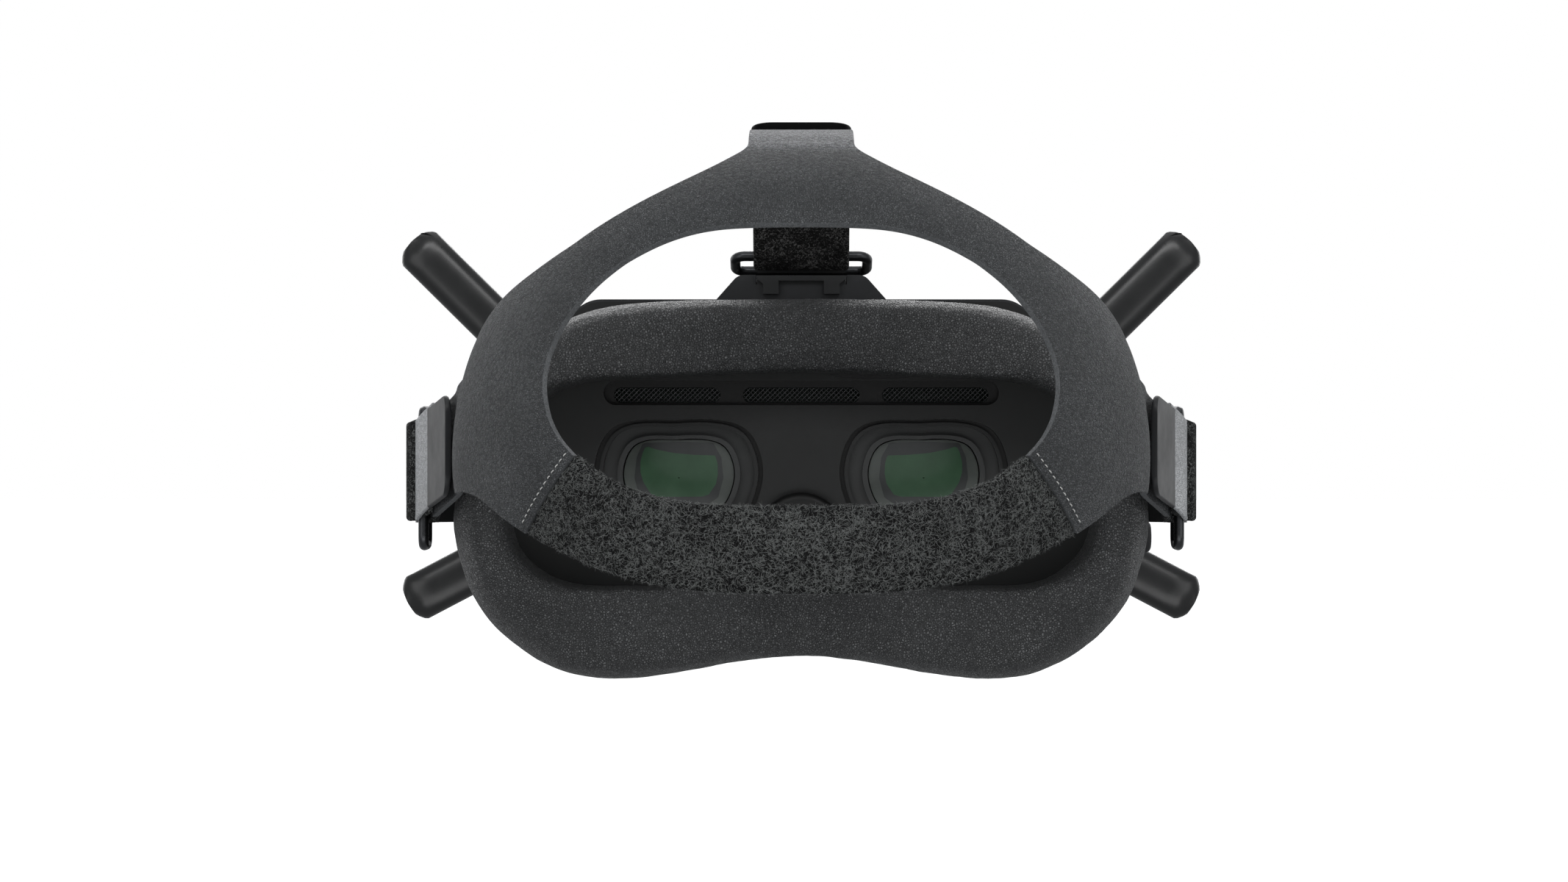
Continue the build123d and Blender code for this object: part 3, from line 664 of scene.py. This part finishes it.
def pressed(points):
    """Points moved along their ray from the middle onto the head shape."""
    u = (np.array(points) - HEAD) / HEAD_RADII
    return HEAD + HEAD_RADII * u / np.linalg.norm(u, axis=-1, keepdims=True)


def head_curve(points, count):
    return pressed(smooth([on_head(x, z) for x, z in points], count))


def root_line(count):
    """The line where a side arm leaves the rounded back, from its top to its bottom."""
    out = []
    for z in np.linspace(35.6, -3.2, count + 1):
        uz, uy = (z - HEAD[2]) / HEAD_RADII[2], (ROOT_Y - HEAD[1]) / HEAD_RADII[1]
        out.append((HEAD_RADII[0] * math.sqrt(1 - uz * uz - uy * uy), ROOT_Y, z))
    return np.array(out)


SPANS = {"crown": 6, "shoulder": 18, "temple": 12, "root": 12, "low": 12, "fleece": 30}
WINDOW = {
    "crown": [(0, 60.3), (6, 60.3), (12.75, 60.15)],
    "shoulder": [(12.75, 60.15), (22.7, 59.3), (32.5, 56.5), (41.4, 52.0)],
    "temple": [(41.4, 52.0), (49, 45.8), (55.9, 37.2)],
    "root": [(55.9, 37.2), (59.4, 29), (60.2, 22), (58.9, 15.4)],
    "low": [(58.9, 15.4), (56.6, 11.0), (52.5, 6.4)],
    "fleece": [(52.5, 6.4), (45.4, 1.5), (33.9, -3.0), (24.4, -4.6), (12, -5.0), (0, -5.0)],
}
OUTLINE = {
    "crown": [(0, 81.5), (6, 81.5), (12.75, 81.5)],
    "shoulder": [(12.75, 81.5), (13.4, 79.9), (15.4, 78.5), (20.1, 75.7), (28.1, 71.6), (36.8, 67.2),
                 (54.4, 56.4)],
    "temple": [(54.4, 56.4), (64.2, 50.2), (72.6, 44.0), (79.2, 35.6)],
    "low": [(85.2, -3.2), (80.5, -2.6), (77.0, -3.7), (71.5, -7.6), (64.6, -11.9)],
    "fleece": [(64.6, -11.9), (56.8, -15.8), (49, -19.3), (34.2, -23.4), (16.7, -25.1), (0, -25.2)],
}


def band_rows(names):
    """Matching points on the window's edge and the band's outer edge, over those spans."""
    inner, outer = [], []
    for name in names:
        count = SPANS[name]
        a = head_curve(WINDOW[name], count)
        b = root_line(count) if name == "root" else head_curve(OUTLINE[name], count)
        inner.append(a if not inner else a[1:])
        outer.append(b if not outer else b[1:])
    return np.concatenate(inner), np.concatenate(outer)


def between(inner, outer, across):
    """A grid over the head shape from the inner edge to the outer edge."""
    share = np.linspace(0, 1, across + 1)[None, :, None]
    u_in, u_out = (inner - HEAD) / HEAD_RADII, (outer - HEAD) / HEAD_RADII
    u = u_in[:, None] * (1 - share) + u_out[:, None] * share
    u /= np.linalg.norm(u, axis=2, keepdims=True)
    return HEAD + HEAD_RADII * u


# The side arm's plan as Y and X; its edges and the crown's line as Y and Z.
ARM_END, CROWN_END = -19.0, -27.0
ARM_PLAN = [(ROOT_Y, 85.97), (-66, 86.0), (-58, 86.4), (-46, 87.5), (-32, 91.6), (ARM_END, 96.2)]
ARM_TOP = [(ROOT_Y, 35.6), (-67, 31.0), (-60, 26.4), (-46, 22.4), (-32, 19.4), (ARM_END, 16.0)]
ARM_LOW = [(ROOT_Y, -3.2), (-60, -3.1), (-46, -3.9), (-32, -6.8), (ARM_END, -10.0)]
CROWN_TOP = [(-95, 81.0), (-88, 83.4), (-78, 85.4), (-62, 87.4), (-46, 88.6), (-34, 88.4),
             (CROWN_END, 86.6)]


def arm_grid(steps=18):
    """The side arm, from the root line forward to the ring."""
    root = root_line(SPANS["root"])
    share = (root[:, 2] - root[-1, 2]) / (root[0, 2] - root[-1, 2])
    rows = [root]
    for y in np.linspace(ROOT_Y, ARM_END, steps + 1)[1:]:
        low, top = curve_at(ARM_LOW, y), curve_at(ARM_TOP, y)
        z = low + (top - low) * share
        flat = curve_at(ARM_PLAN, y)
        keep = 1 - float(ease(y, ROOT_Y, -50.0))
        x = flat + (root[:, 0] - root[:, 0].max()) * keep
        rows.append(np.stack([x, np.full_like(z, y), z], axis=1))
    return np.array(rows)


def crown_grid(steps=16):
    """The strap over the crown, from the back of the head forward."""
    root = head_curve(OUTLINE["crown"], SPANS["crown"])
    start = root[0, 1]
    rows = [root]
    for y in np.linspace(start, CROWN_END, steps + 1)[1:]:
        z = curve_at(CROWN_TOP, y)
        sag = (root[:, 2] - root[0, 2]) * (1 - float(ease(y, start, start + 20)))
        rows.append(np.stack([root[:, 0], np.full(len(root), y), z + sag], axis=1))
    return np.array(rows)


def sheet_mesh(grids):
    """One set of points and faces from several grids and their mirror images."""
    verts, faces = [], []
    for grid, backwards in grids:
        for mirrored in (False, True):
            points = grid.reshape(-1, 3) * (np.array((-1, 1, 1)) if mirrored else 1)
            new = grid_faces(grid.shape[0], grid.shape[1], start=len(verts))
            if backwards != mirrored:
                new = [tuple(reversed(f)) for f in new]
            verts.extend(points)
            faces.extend(new)
    return verts, faces


def thicken(piece, thickness, rim_slot=0, inner_slot=0):
    """Gives a sheet its thickness, inward from its outer face."""
    mod = piece.modifiers.new("thickness", "SOLIDIFY")
    mod.thickness = thickness * MM
    mod.offset = -1
    mod.use_even_offset = False
    mod.use_rim = True
    mod.material_offset_rim = rim_slot
    mod.material_offset = inner_slot


def headband():
    """The leather back strap with its fleece lining, and the fleece-faced stretch below the window."""
    inner, outer = band_rows(["crown", "shoulder", "temple", "root", "low"])
    grids = [(between(inner, outer, 16), False), (arm_grid(), True), (crown_grid(), True)]
    verts, faces = sheet_mesh(grids)
    layers = [MATERIALS["strap"], MATERIALS["strap_edge"], MATERIALS["fleece"]]
    strap = make("back_strap_leather", verts, faces, "headband", layers, ["back_strap"])
    weld(strap)
    thicken(strap, LEATHER, rim_slot=1, inner_slot=2)
    round_rim(strap, 0.3)
    subdivide(strap, 2)
    apply_modifiers(strap)
    inner, outer = band_rows(["fleece"])
    verts, faces = sheet_mesh([(between(inner, outer, 24), False)])
    band = make("fleece_band", verts, faces, "headband", MATERIALS["fleece"], ["fleece_pad"])
    weld(band)
    apply_modifiers(band)
    shift_inward(band, 0.45)
    thicken(band, FLEECE)
    round_rim(band, 0.6)
    subdivide(band, 3)
    apply_modifiers(band)
    pile = np.random.default_rng(21).uniform(-1, 1, len(band.data.vertices))
    move_out(band.data, pile * 0.05)
    return band


def round_rim(piece, width):
    mod = piece.modifiers.new("rim", "BEVEL")
    mod.width = width * MM
    mod.segments = 2
    mod.limit_method = "ANGLE"
    mod.angle_limit = math.radians(50)


def shift_inward(piece, amount):
    """Moves a single-layer sheet along its normals, towards the head."""
    mesh = piece.data
    for v in mesh.vertices:
        v.co -= v.normal * amount * MM
    mesh.update()


def surface_points(piece, count, random, keep):
    """Random points on a mesh with their normals, spread by area and by what keep says of it."""
    mesh = piece.data
    mesh.calc_loop_triangles()
    tris = np.zeros(len(mesh.loop_triangles) * 3, int)
    mesh.loop_triangles.foreach_get("vertices", tris)
    co = points_of(mesh)[0]
    a, b, c = (co[tris.reshape(-1, 3)[:, k]] for k in range(3))
    cross = np.cross(b - a, c - a)
    area = np.linalg.norm(cross, axis=1)
    normal = cross / np.maximum(area, 1e-15)[:, None]
    weight = area * keep(normal)
    chosen = random.choice(len(a), count, p=weight / weight.sum())
    u, v = random.random((2, count, 1))
    flip = (u + v) > 1
    u, v = np.where(flip, 1 - u, u), np.where(flip, 1 - v, v)
    place = a[chosen] + (b - a)[chosen] * u + (c - a)[chosen] * v
    return place / MM, normal[chosen]


def fibres(name, piece, count, seed, body, keep, length=2.0, width=0.07):
    """Loose fibres lying over a fleece surface, each a thin bent sliver."""
    random = np.random.default_rng(seed)
    place, normal = surface_points(piece, count, random, keep)
    way = np.cross(normal, random.normal(size=(count, 3)))
    way /= np.linalg.norm(way, axis=1)[:, None]
    side = np.cross(normal, way)
    reach = length * random.uniform(0.5, 1.3, (count, 1))
    bend = random.normal(size=(count, 1)) * 0.35
    lift = random.uniform(0.10, 0.45, (count, 1))
    half = width * random.uniform(0.5, 1.2, (count, 1)) / 2
    verts = np.zeros((count, 8, 3))
    for k, s in enumerate((0.0, 0.33, 0.67, 1.0)):
        middle_line = (place + way * reach * (s - 0.5) + side * reach * bend * (s - 0.5) ** 2 * 2
                       + normal * (0.02 + lift * math.sin(math.pi * s)))
        taper = half * (1.0 if 0 < s < 1 else 0.3)
        verts[:, 2 * k] = middle_line - side * taper
        verts[:, 2 * k + 1] = middle_line + side * taper
    faces = [(8 * i + 2 * k, 8 * i + 2 * k + 1, 8 * i + 2 * k + 3, 8 * i + 2 * k + 2)
             for i in range(count) for k in range(3)]
    return make(name, verts.reshape(-1, 3), faces, body, MATERIALS["fibre"])


# Along a stitch, as a share of its length; its swell; its rise over the leather.
STITCH = [(-0.5, 0.35, -0.25), (-0.36, 0.9, 0.05), (0, 1.0, 0.12), (0.36, 0.9, 0.05), (0.5, 0.35, -0.25)]


def stitches(name, start, end, count, body, length=1.15, radius=0.15, lift=0.12):
    """A line of short stitches on the head shape between two points given in X and Z."""
    verts, faces = [], []
    ends = [on_head(*start), on_head(*end)]
    line = pressed(even(np.array(ends), count * 2))
    for k in range(count):
        a, b = line[2 * k], line[2 * k + 1]
        centre, way = (a + b) / 2, (b - a) / np.linalg.norm(b - a)
        out = (centre - HEAD) / HEAD_RADII ** 2
        out /= np.linalg.norm(out)
        side = np.cross(way, out)
        ring = 8
        base = len(verts)
        for s, swell, rise in STITCH:
            for q in range(ring):
                angle = 2 * math.pi * q / ring
                verts.append(centre + way * length * s + out * (lift + rise) + side * radius * 1.2 * swell
                             * math.cos(angle) + out * radius * swell * math.sin(angle))
        faces += grid_faces(len(STITCH), ring, closed_columns=True, start=base)
        faces.append(tuple(base + q for q in range(ring)))
        faces.append(tuple(base + (len(STITCH) - 1) * ring + q for q in reversed(range(ring))))
    return make(name, verts, faces, body, MATERIALS["thread"])


def seams():
    """The stitched seams beside the fleece-faced stretch."""
    for name, side in (("right", 1), ("left", -1)):
        top, low = (54.3 * side, 6.9), (65.4 * side, -9.9)
        piece = stitches("seam_stitches_" + name, top, low, 13, "headband")
        subdivide(piece, 1)
        apply_modifiers(piece)


# ---- strap ends ----
def arc(centre, radius, start, end, count):
    """Points of an arc in a plane, angles in degrees."""
    return [(centre[0] + radius * math.cos(math.radians(a)), centre[1] + radius * math.sin(math.radians(a)))
            for a in np.linspace(start, end, count)]


def side_loops():
    """Each side's strap end: in past the ring's back bar, round it, and back under the tab."""
    x0 = middle("right_ring")[0]
    y0 = corners("right_ring")[0][1] + BAR_R
    inside = [(94.6, -21.0), (95.0, -17.5), (x0 - 3.3, y0 - 1.8)]
    wrap = arc((x0, y0), 3.3, 180, 0, 9)
    plan = inside + wrap + [(x0 + 3.1, y0 - 1.4), (x0 + 1.7, y0 - 3.6), (98.0, -18.4), (96.4, -21.4)]
    path = smooth([(x, y, 1.8 + 2.6 * max(0.0, (-14 - y) / 8)) for x, y in plan], 60)
    thickness = np.interp(np.linspace(0, 1, 61), [0, 0.15, 0.75, 1.0], [1.8, 2.2, 2.4, 1.2])
    verts, faces = ribbon(path, (0, 0, 1), 13.0, thickness)
    tip = [(100.35, -16.6), (99.2, -18.8), (97.6, -21.2), (95.4, -24.4)]
    tip_path = smooth([(x, y, 2.1 + 2.9 * max(0.0, (-16.6 - y) / 5)) for x, y in tip], 18)
    tip_verts, tip_faces = ribbon(tip_path, (0, 0, 1), 13.1, 1.3)
    for name, side in (("right", 1), ("left", -1)):
        flip = np.array((side, 1, 1))
        loop = make("strap_loop_" + name, verts * flip, turned(faces, side), None,
                    MATERIALS["fleece"], ["loop_" + name])
        blend_to_visor(loop)
        end = make("strap_tip_" + name, tip_verts * flip, turned(tip_faces, side), None,
                   MATERIALS["tip"])
        blend_to_visor(end)


def turned(faces, side):
    """Faces as they are on the right side, or turned about for a mirrored left side."""
    return faces if side > 0 else [tuple(reversed(f)) for f in faces]


def blend_to_visor(piece):
    """A strap end stays on its ring while the headband tilts."""
    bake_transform(piece)


def top_loop():
    """The top strap: down from the crown, under the ring's back bar, round it and up again."""
    low, high = corners("top_ring")
    bar = (low[1] + BAR_R, high[2] - BAR_R)
    down = [(-36, 85.6), (-27, 83.6), (-17, 77.8), (-6.5, 68.2)]
    wrap = arc(bar, 2.75, 222, 402, 9)
    up = [(1.6, 67.4), (-4.5, 73.3), (-11, 78.3), (-17, 81.6)]
    path = smooth([(0, y, z) for y, z in down + wrap + up], 90)
    thickness = np.interp(np.linspace(0, 1, 91), [0, 0.3, 0.75, 1.0], [2.0, 2.2, 2.2, 1.2])
    verts, faces = ribbon(path, (-1, 0, 0), STRAP_HALF, thickness)
    loop = make("strap_loop_top", verts, faces, None, MATERIALS["dark_fleece"], ["loop_top"])
    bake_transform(loop)


def tabs():
    """The stiff tabs on the strap ends, each a thin plate with rounded corners."""
    top = through([(0, -36.5, 90.35), (0, -26, 88.3), (0, -15.0, 82.3), (0, -6.0, 74.9)])
    side = through([(89.4, -47.2, 9.1), (93.4, -33, 7.0), (97.2, -20.0, 5.0)])
    # The top tab takes the near-black painted-shade copy of the tab plastic.
    plates = [("tab_top", top, (-1, 0, 0), 1, 12.9, 12.9, 2.2, "painted_shade_tab"),
              ("tab_right", side, (0, 0, -1), 1, 12.8, 13.0, 1.5, "tab"),
              ("tab_left", side, (0, 0, -1), -1, 12.8, 13.0, 1.5, "tab")]
    for name, line, across, flip, near, far, thickness, finish in plates:
        length = np.linalg.norm(np.diff(line, axis=0), axis=1).sum()
        ends = round_ends(length, near, 4.6, 9)
        path = along(line, ends[:, 0])
        path[0] += (path[0] - path[1]) * 0.01
        widths = ends[:, 1] + (far - near) * ends[:, 0] / length
        verts, faces = ribbon(path, across, widths, thickness, edge=0.42)
        replaced = ["pull_tabs"] if name == "tab_top" else []
        make(name, verts * np.array((flip, 1, 1)), turned(faces, flip), "headband",
             MATERIALS[finish], replaced)


# ---- vent meshes ----
def vent_meshes():
    """Diamond wire mesh in the three openings above the eyepieces."""
    low, high = corners("vent_meshes")
    height, z0 = high[2] - low[2], (high[2] + low[2]) / 2
    y0 = low[1] + 0.1
    pitch, wire, sway = 1.3, 0.11, 0.09
    verts, faces = [], []
    for x0, length in ((-35.6, 28.2), (0.0, 30.9), (35.6, 28.2)):
        half, r = length / 2, height / 2
        for lean in (1, -1):
            for k in range(int((length + height) / pitch) + 2):
                c = -half - r + k * pitch
                inside = []
                for s in np.linspace(-r, r, 33):
                    x = c + lean * s + r
                    centre = max(abs(x) - (half - r), 0)
                    if centre ** 2 + s ** 2 <= (r - 0.02) ** 2:
                        inside.append((x, s))
                if len(inside) < 3:
                    continue
                steps = max(2, int(abs(inside[-1][1] - inside[0][1]) / (pitch / 2)) * 2)
                path = even([inside[0], inside[-1]], steps)
                wave = [sway * lean * math.sin(math.pi * (p[1] / (pitch / 2) + k)) for p in path]
                points = [(x0 + p[0], y0 + w, z0 + p[1]) for p, w in zip(path, wave)]
                v, f = wire_tube(points, wire, 5)
                faces += [tuple(i + len(verts) for i in face) for face in f]
                verts += list(v)
    make("vent_wire_mesh", verts, faces, "visor", MATERIALS["mesh"], ["vent_meshes"])


def wire_tube(points, radius, sides):
    """A thin tube along points."""
    p = np.array(points, float)
    tangent = np.gradient(p, axis=0)
    tangent /= np.linalg.norm(tangent, axis=1)[:, None]
    up = np.cross(tangent, (0, 1, 0))
    up /= np.linalg.norm(up, axis=1)[:, None]
    over = np.cross(tangent, up)
    verts = []
    for i in range(len(p)):
        for k in range(sides):
            a = 2 * math.pi * k / sides
            verts.append(p[i] + radius * (up[i] * math.cos(a) + over[i] * math.sin(a)))
    return np.array(verts), [tuple(reversed(f)) for f in grid_faces(len(p), sides, closed_columns=True)]


# ---- antennas ----
def leaning(points, pivot, angle):
    """Points of an upright-section blade turned to its lean and set on its pivot."""
    turn = Matrix.Rotation(-math.radians(angle), 3, "Y")
    return [np.array(turn @ Vector(v)) + np.array(pivot) for v in points]


def antenna_blade(name, pivot, angle, body, node):
    """A blade with a pillowed section, a round knuckle and a chamfered tip."""
    half, thick, reach = 6.65, 3.8, 43.2
    plan = [(-half * math.cos(a), half * math.sin(a)) for a in np.linspace(0.0, math.pi / 2, 9)]
    plan += [(s, half) for s in (5, 12, 20, 28, 35, 38.5, 40.2)]
    plan += [(41.1, half - 0.5), (42.2, half - 1.7), (42.9, half - 2.8), (43.1, half - 3.9),
             (reach, 1.4), (reach, 0.05)]
    verts = []
    ring = 36
    for s, w in plan:
        w = max(w, 0.05)
        depth = thick * (1 - 0.55 * float(ease(s, 37.0, 43.6)) ** 1.4)
        for q in range(ring):
            a = 2 * math.pi * (q + 0.5) / ring
            c, d = math.cos(a), math.sin(a)
            verts.append((s, depth * d, w * math.copysign(abs(c) ** 0.85, c)))
    faces = grid_faces(len(plan), ring, closed_columns=True)
    faces.append(tuple(reversed(range(ring))))
    faces.append(tuple((len(plan) - 1) * ring + q for q in range(ring)))
    make(name, leaning(verts, pivot, angle), faces, body, MATERIALS["antenna"], [node])


def tip_seam(name, pivot, angle, body, lift):
    """The dark parting line that runs in from the tip along one edge of a blade."""
    line = even([(42.9, -0.9, 3.3 * lift), (41.9, -1.65, 4.5 * lift), (40.6, -1.95, 5.0 * lift),
                 (36.0, -2.45, 5.0 * lift), (35.9, -2.75, 4.5 * lift)], 30)
    verts, faces = wire_tube(line, 0.2, 6)
    make(name, leaning(verts, pivot, angle), faces, body, MATERIALS["dark"])


def antennas():
    """The four blades on their joints, the upper pair with its seams."""
    for level, angle in (("upper", 44.7), ("lower", -27.7)):
        for side in ("right", "left"):
            body = f"antenna_{level}_{side}"
            joint = next(j for j in frame["joints"] if j["child"] == body)
            pivot = np.array(joint["pos_m"]) / MM
            lean = angle if side == "right" else 180 - angle
            antenna_blade(f"antenna_blade_{level}_{side}", pivot, lean, body, f"antenna_shell_{level}_{side}")
            if level == "upper":
                lift = 1 if side == "right" else -1
                tip_seam(f"antenna_seam_{level}_{side}", pivot, lean, body, lift)


# ---- eyepieces ----
# The eyepiece's right half; its lens's dark band and lit window, whole, as X and Z from its middle.
EYE_OUTLINE = [(0, 15.4), (12, 15.2), (18, 12.8), (21.5, 7), (22.4, 1), (21.2, -5), (17.5, -11.5),
               (10, -15), (0, -15.4)]
EYE_HALF, LENS_HALF = 22.4, 14.8
SHADE_OUTLINE = [(-9.6, 9.2), (0, 9.6), (9.0, 9.3), (11.2, 5.5), (11.8, 0), (10.4, -5.2), (6.5, -7.8),
                 (0, -8.2), (-6.5, -7.8), (-10.4, -5.2), (-11.8, 0), (-11.2, 5.5)]
VIEW_OUTLINE = [(-8.7, 8.4), (-6.2, 7.55), (-1.5, 6.6), (4, 6.1), (9.6, 5.9), (10.2, 3.8), (10.3, 1),
                (9.8, -1.6), (7.9, -4.4), (6.2, -4.95), (0, -5.0), (-5.6, -5.0), (-7.4, -4.2),
                (-9.4, -1.2), (-10.2, 1.6), (-10.2, 4.2), (-9.5, 7.0)]


def straight(points, count):
    """Evenly spaced points along the straight runs of a closed outline."""
    closed = np.array(list(points) + [points[0]], float)
    return even(closed, count)[:-1]


def lens(side, sign):
    """A domed lens front: a grey surround, a darker band of painted shade and a painted green reflection of
    its coating.
    """
    centre = middle("lens_" + side)
    count, rise = 96, 0.9
    outline = closed_smooth(both_halves(EYE_OUTLINE), count) * LENS_HALF / EYE_HALF
    angles = np.arctan2(outline[:, 0], outline[:, 1])
    flip = np.array((-sign, 1.0))
    rings = [outline, outline * 0.985]
    for points in (SHADE_OUTLINE, VIEW_OUTLINE):
        shape = by_angle(straight(points, 900) * flip, angles)
        rings += [shape * 1.004, shape]
    rings += [rings[-1] * 0.6, rings[-1] * 0.25, rings[-1] * 0.02]
    verts, faces, kinds = [], [], []
    for number, ring in enumerate(rings):
        for x, z in ring:
            dome = rise * (1 - (x * x + 1.6 * z * z) / LENS_HALF ** 2)
            verts.append((centre[0] + x, rise - dome - (0.5 if number else 0.0), z))
    for k in range(len(rings) - 1):
        kind = 0 if k < 2 else 1 if k < 4 else 2
        for q in range(count):
            r = (q + 1) % count
            faces.append((k * count + q, (k + 1) * count + q, (k + 1) * count + r, k * count + r))
            kinds.append(kind)
    slots = [MATERIALS["glass_rim"], MATERIALS["glass_shade"], MATERIALS["reflection"]]
    piece = make("lens_glass_" + side, verts, faces, "eyepiece_" + side, slots,
                 ["lens_" + side])
    piece.data.polygons.foreach_set("material_index", kinds)
    piece.data.update()


# ---- stage ----
def area_light(name, place, size, power):
    """A softbox that faces the part."""
    light = bpy.data.lights.new(name, "AREA")
    light.shape = "RECTANGLE"
    light.size, light.size_y = size
    light.energy = power
    lamp = bpy.data.objects.new(name, light)
    bpy.context.scene.collection.objects.link(lamp)
    lamp.location = place
    lamp.rotation_euler = (-Vector(place)).to_track_quat("-Z", "Y").to_euler()
    lamp.visible_camera = False


def floor():
    """A plain white floor, bright enough to show no horizon, that casts nothing up on the part."""
    mesh = bpy.data.meshes.new("floor")
    reach, level = 20.0, -0.32
    mesh.from_pydata([(-reach, -reach, level), (reach, -reach, level), (reach, reach, level),
                      (-reach, reach, level)], [], [(0, 1, 2, 3)])
    plane = bpy.data.objects.new("floor", mesh)
    bpy.context.scene.collection.objects.link(plane)
    paint = Shader("floor_paint", (0.9, 0.9, 0.9, 1), 0.9)
    paint.set("Emission Color", (1, 1, 1, 1))
    paint.set("Emission Strength", 0.8)
    mesh.materials.append(paint.material)
    plane.visible_diffuse = plane.visible_glossy = plane.visible_transmission = False


def sky():
    """White to the eye, and a soft grey fill for the part."""
    world = bpy.data.worlds.new("studio")
    bpy.context.scene.world = world
    world.use_nodes = True
    tree = world.node_tree
    seen = tree.nodes["Background"]
    seen.inputs["Color"].default_value = (1, 1, 1, 1)
    seen.inputs["Strength"].default_value = 1.0
    fill = tree.nodes.new("ShaderNodeBackground")
    fill.inputs["Color"].default_value = (0.96, 0.98, 1.0, 1)
    fill.inputs["Strength"].default_value = 0.44
    path = tree.nodes.new("ShaderNodeLightPath")
    mix = tree.nodes.new("ShaderNodeMixShader")
    tree.links.new(path.outputs["Is Camera Ray"], mix.inputs[0])
    tree.links.new(fill.outputs[0], mix.inputs[1])
    tree.links.new(seen.outputs[0], mix.inputs[2])
    tree.links.new(mix.outputs[0], tree.nodes["World Output"].inputs["Surface"])


def stage():
    floor()
    sky()
    area_light("top_softbox", (0, 0.1, 1.2), (1.4, 0.9), 3)
    area_light("far_softbox", (0, 1.4, 0.80), (1.6, 0.8), 14)
    area_light("low_softbox", (0, -1.4, -0.75), (1.8, 0.7), 7.5)
    area_light("brow_softbox", (0, -1.2, 1.0), (1.6, 0.35), 11)
    for side in (-1, 1):
        area_light(f"side_softbox_{side}", (1.25 * side, 1.0, 0.15), (0.7, 1.2), 4.0)
        area_light(f"front_softbox_{side}", (1.25 * side, -1.35, 0.15), (1.0, 1.2), 5)
    bpy.context.scene.view_settings.view_transform = "Standard"


def camera():
    """The camera stands a metre behind the part, level with it."""
    data = bpy.data.cameras.new("camera")
    data.lens = 86.4
    data.sensor_width = SENSOR
    data.shift_x = -23.5 / IMAGE_WIDTH
    eye = bpy.data.objects.new("camera", data)
    bpy.context.scene.collection.objects.link(eye)
    eye.location = (0, -1.0, 0.0098)
    eye.rotation_euler = (math.pi / 2, 0, 0)
    bpy.context.scene.camera = eye


camera()
stage()
dress_frame()
face_pad()
fleece_band = headband()
fibres("fleece_fibres", fleece_band, 9000, 5, "headband",
       keep=lambda normal: (normal @ np.array((0, -1.0, 0)) > -0.2) * 1.0 + 0.05)
seams()
side_loops()
top_loop()
tabs()
vent_meshes()
antennas()
for eye_side, eye_sign in (("right", 1), ("left", -1)):
    lens(eye_side, eye_sign)
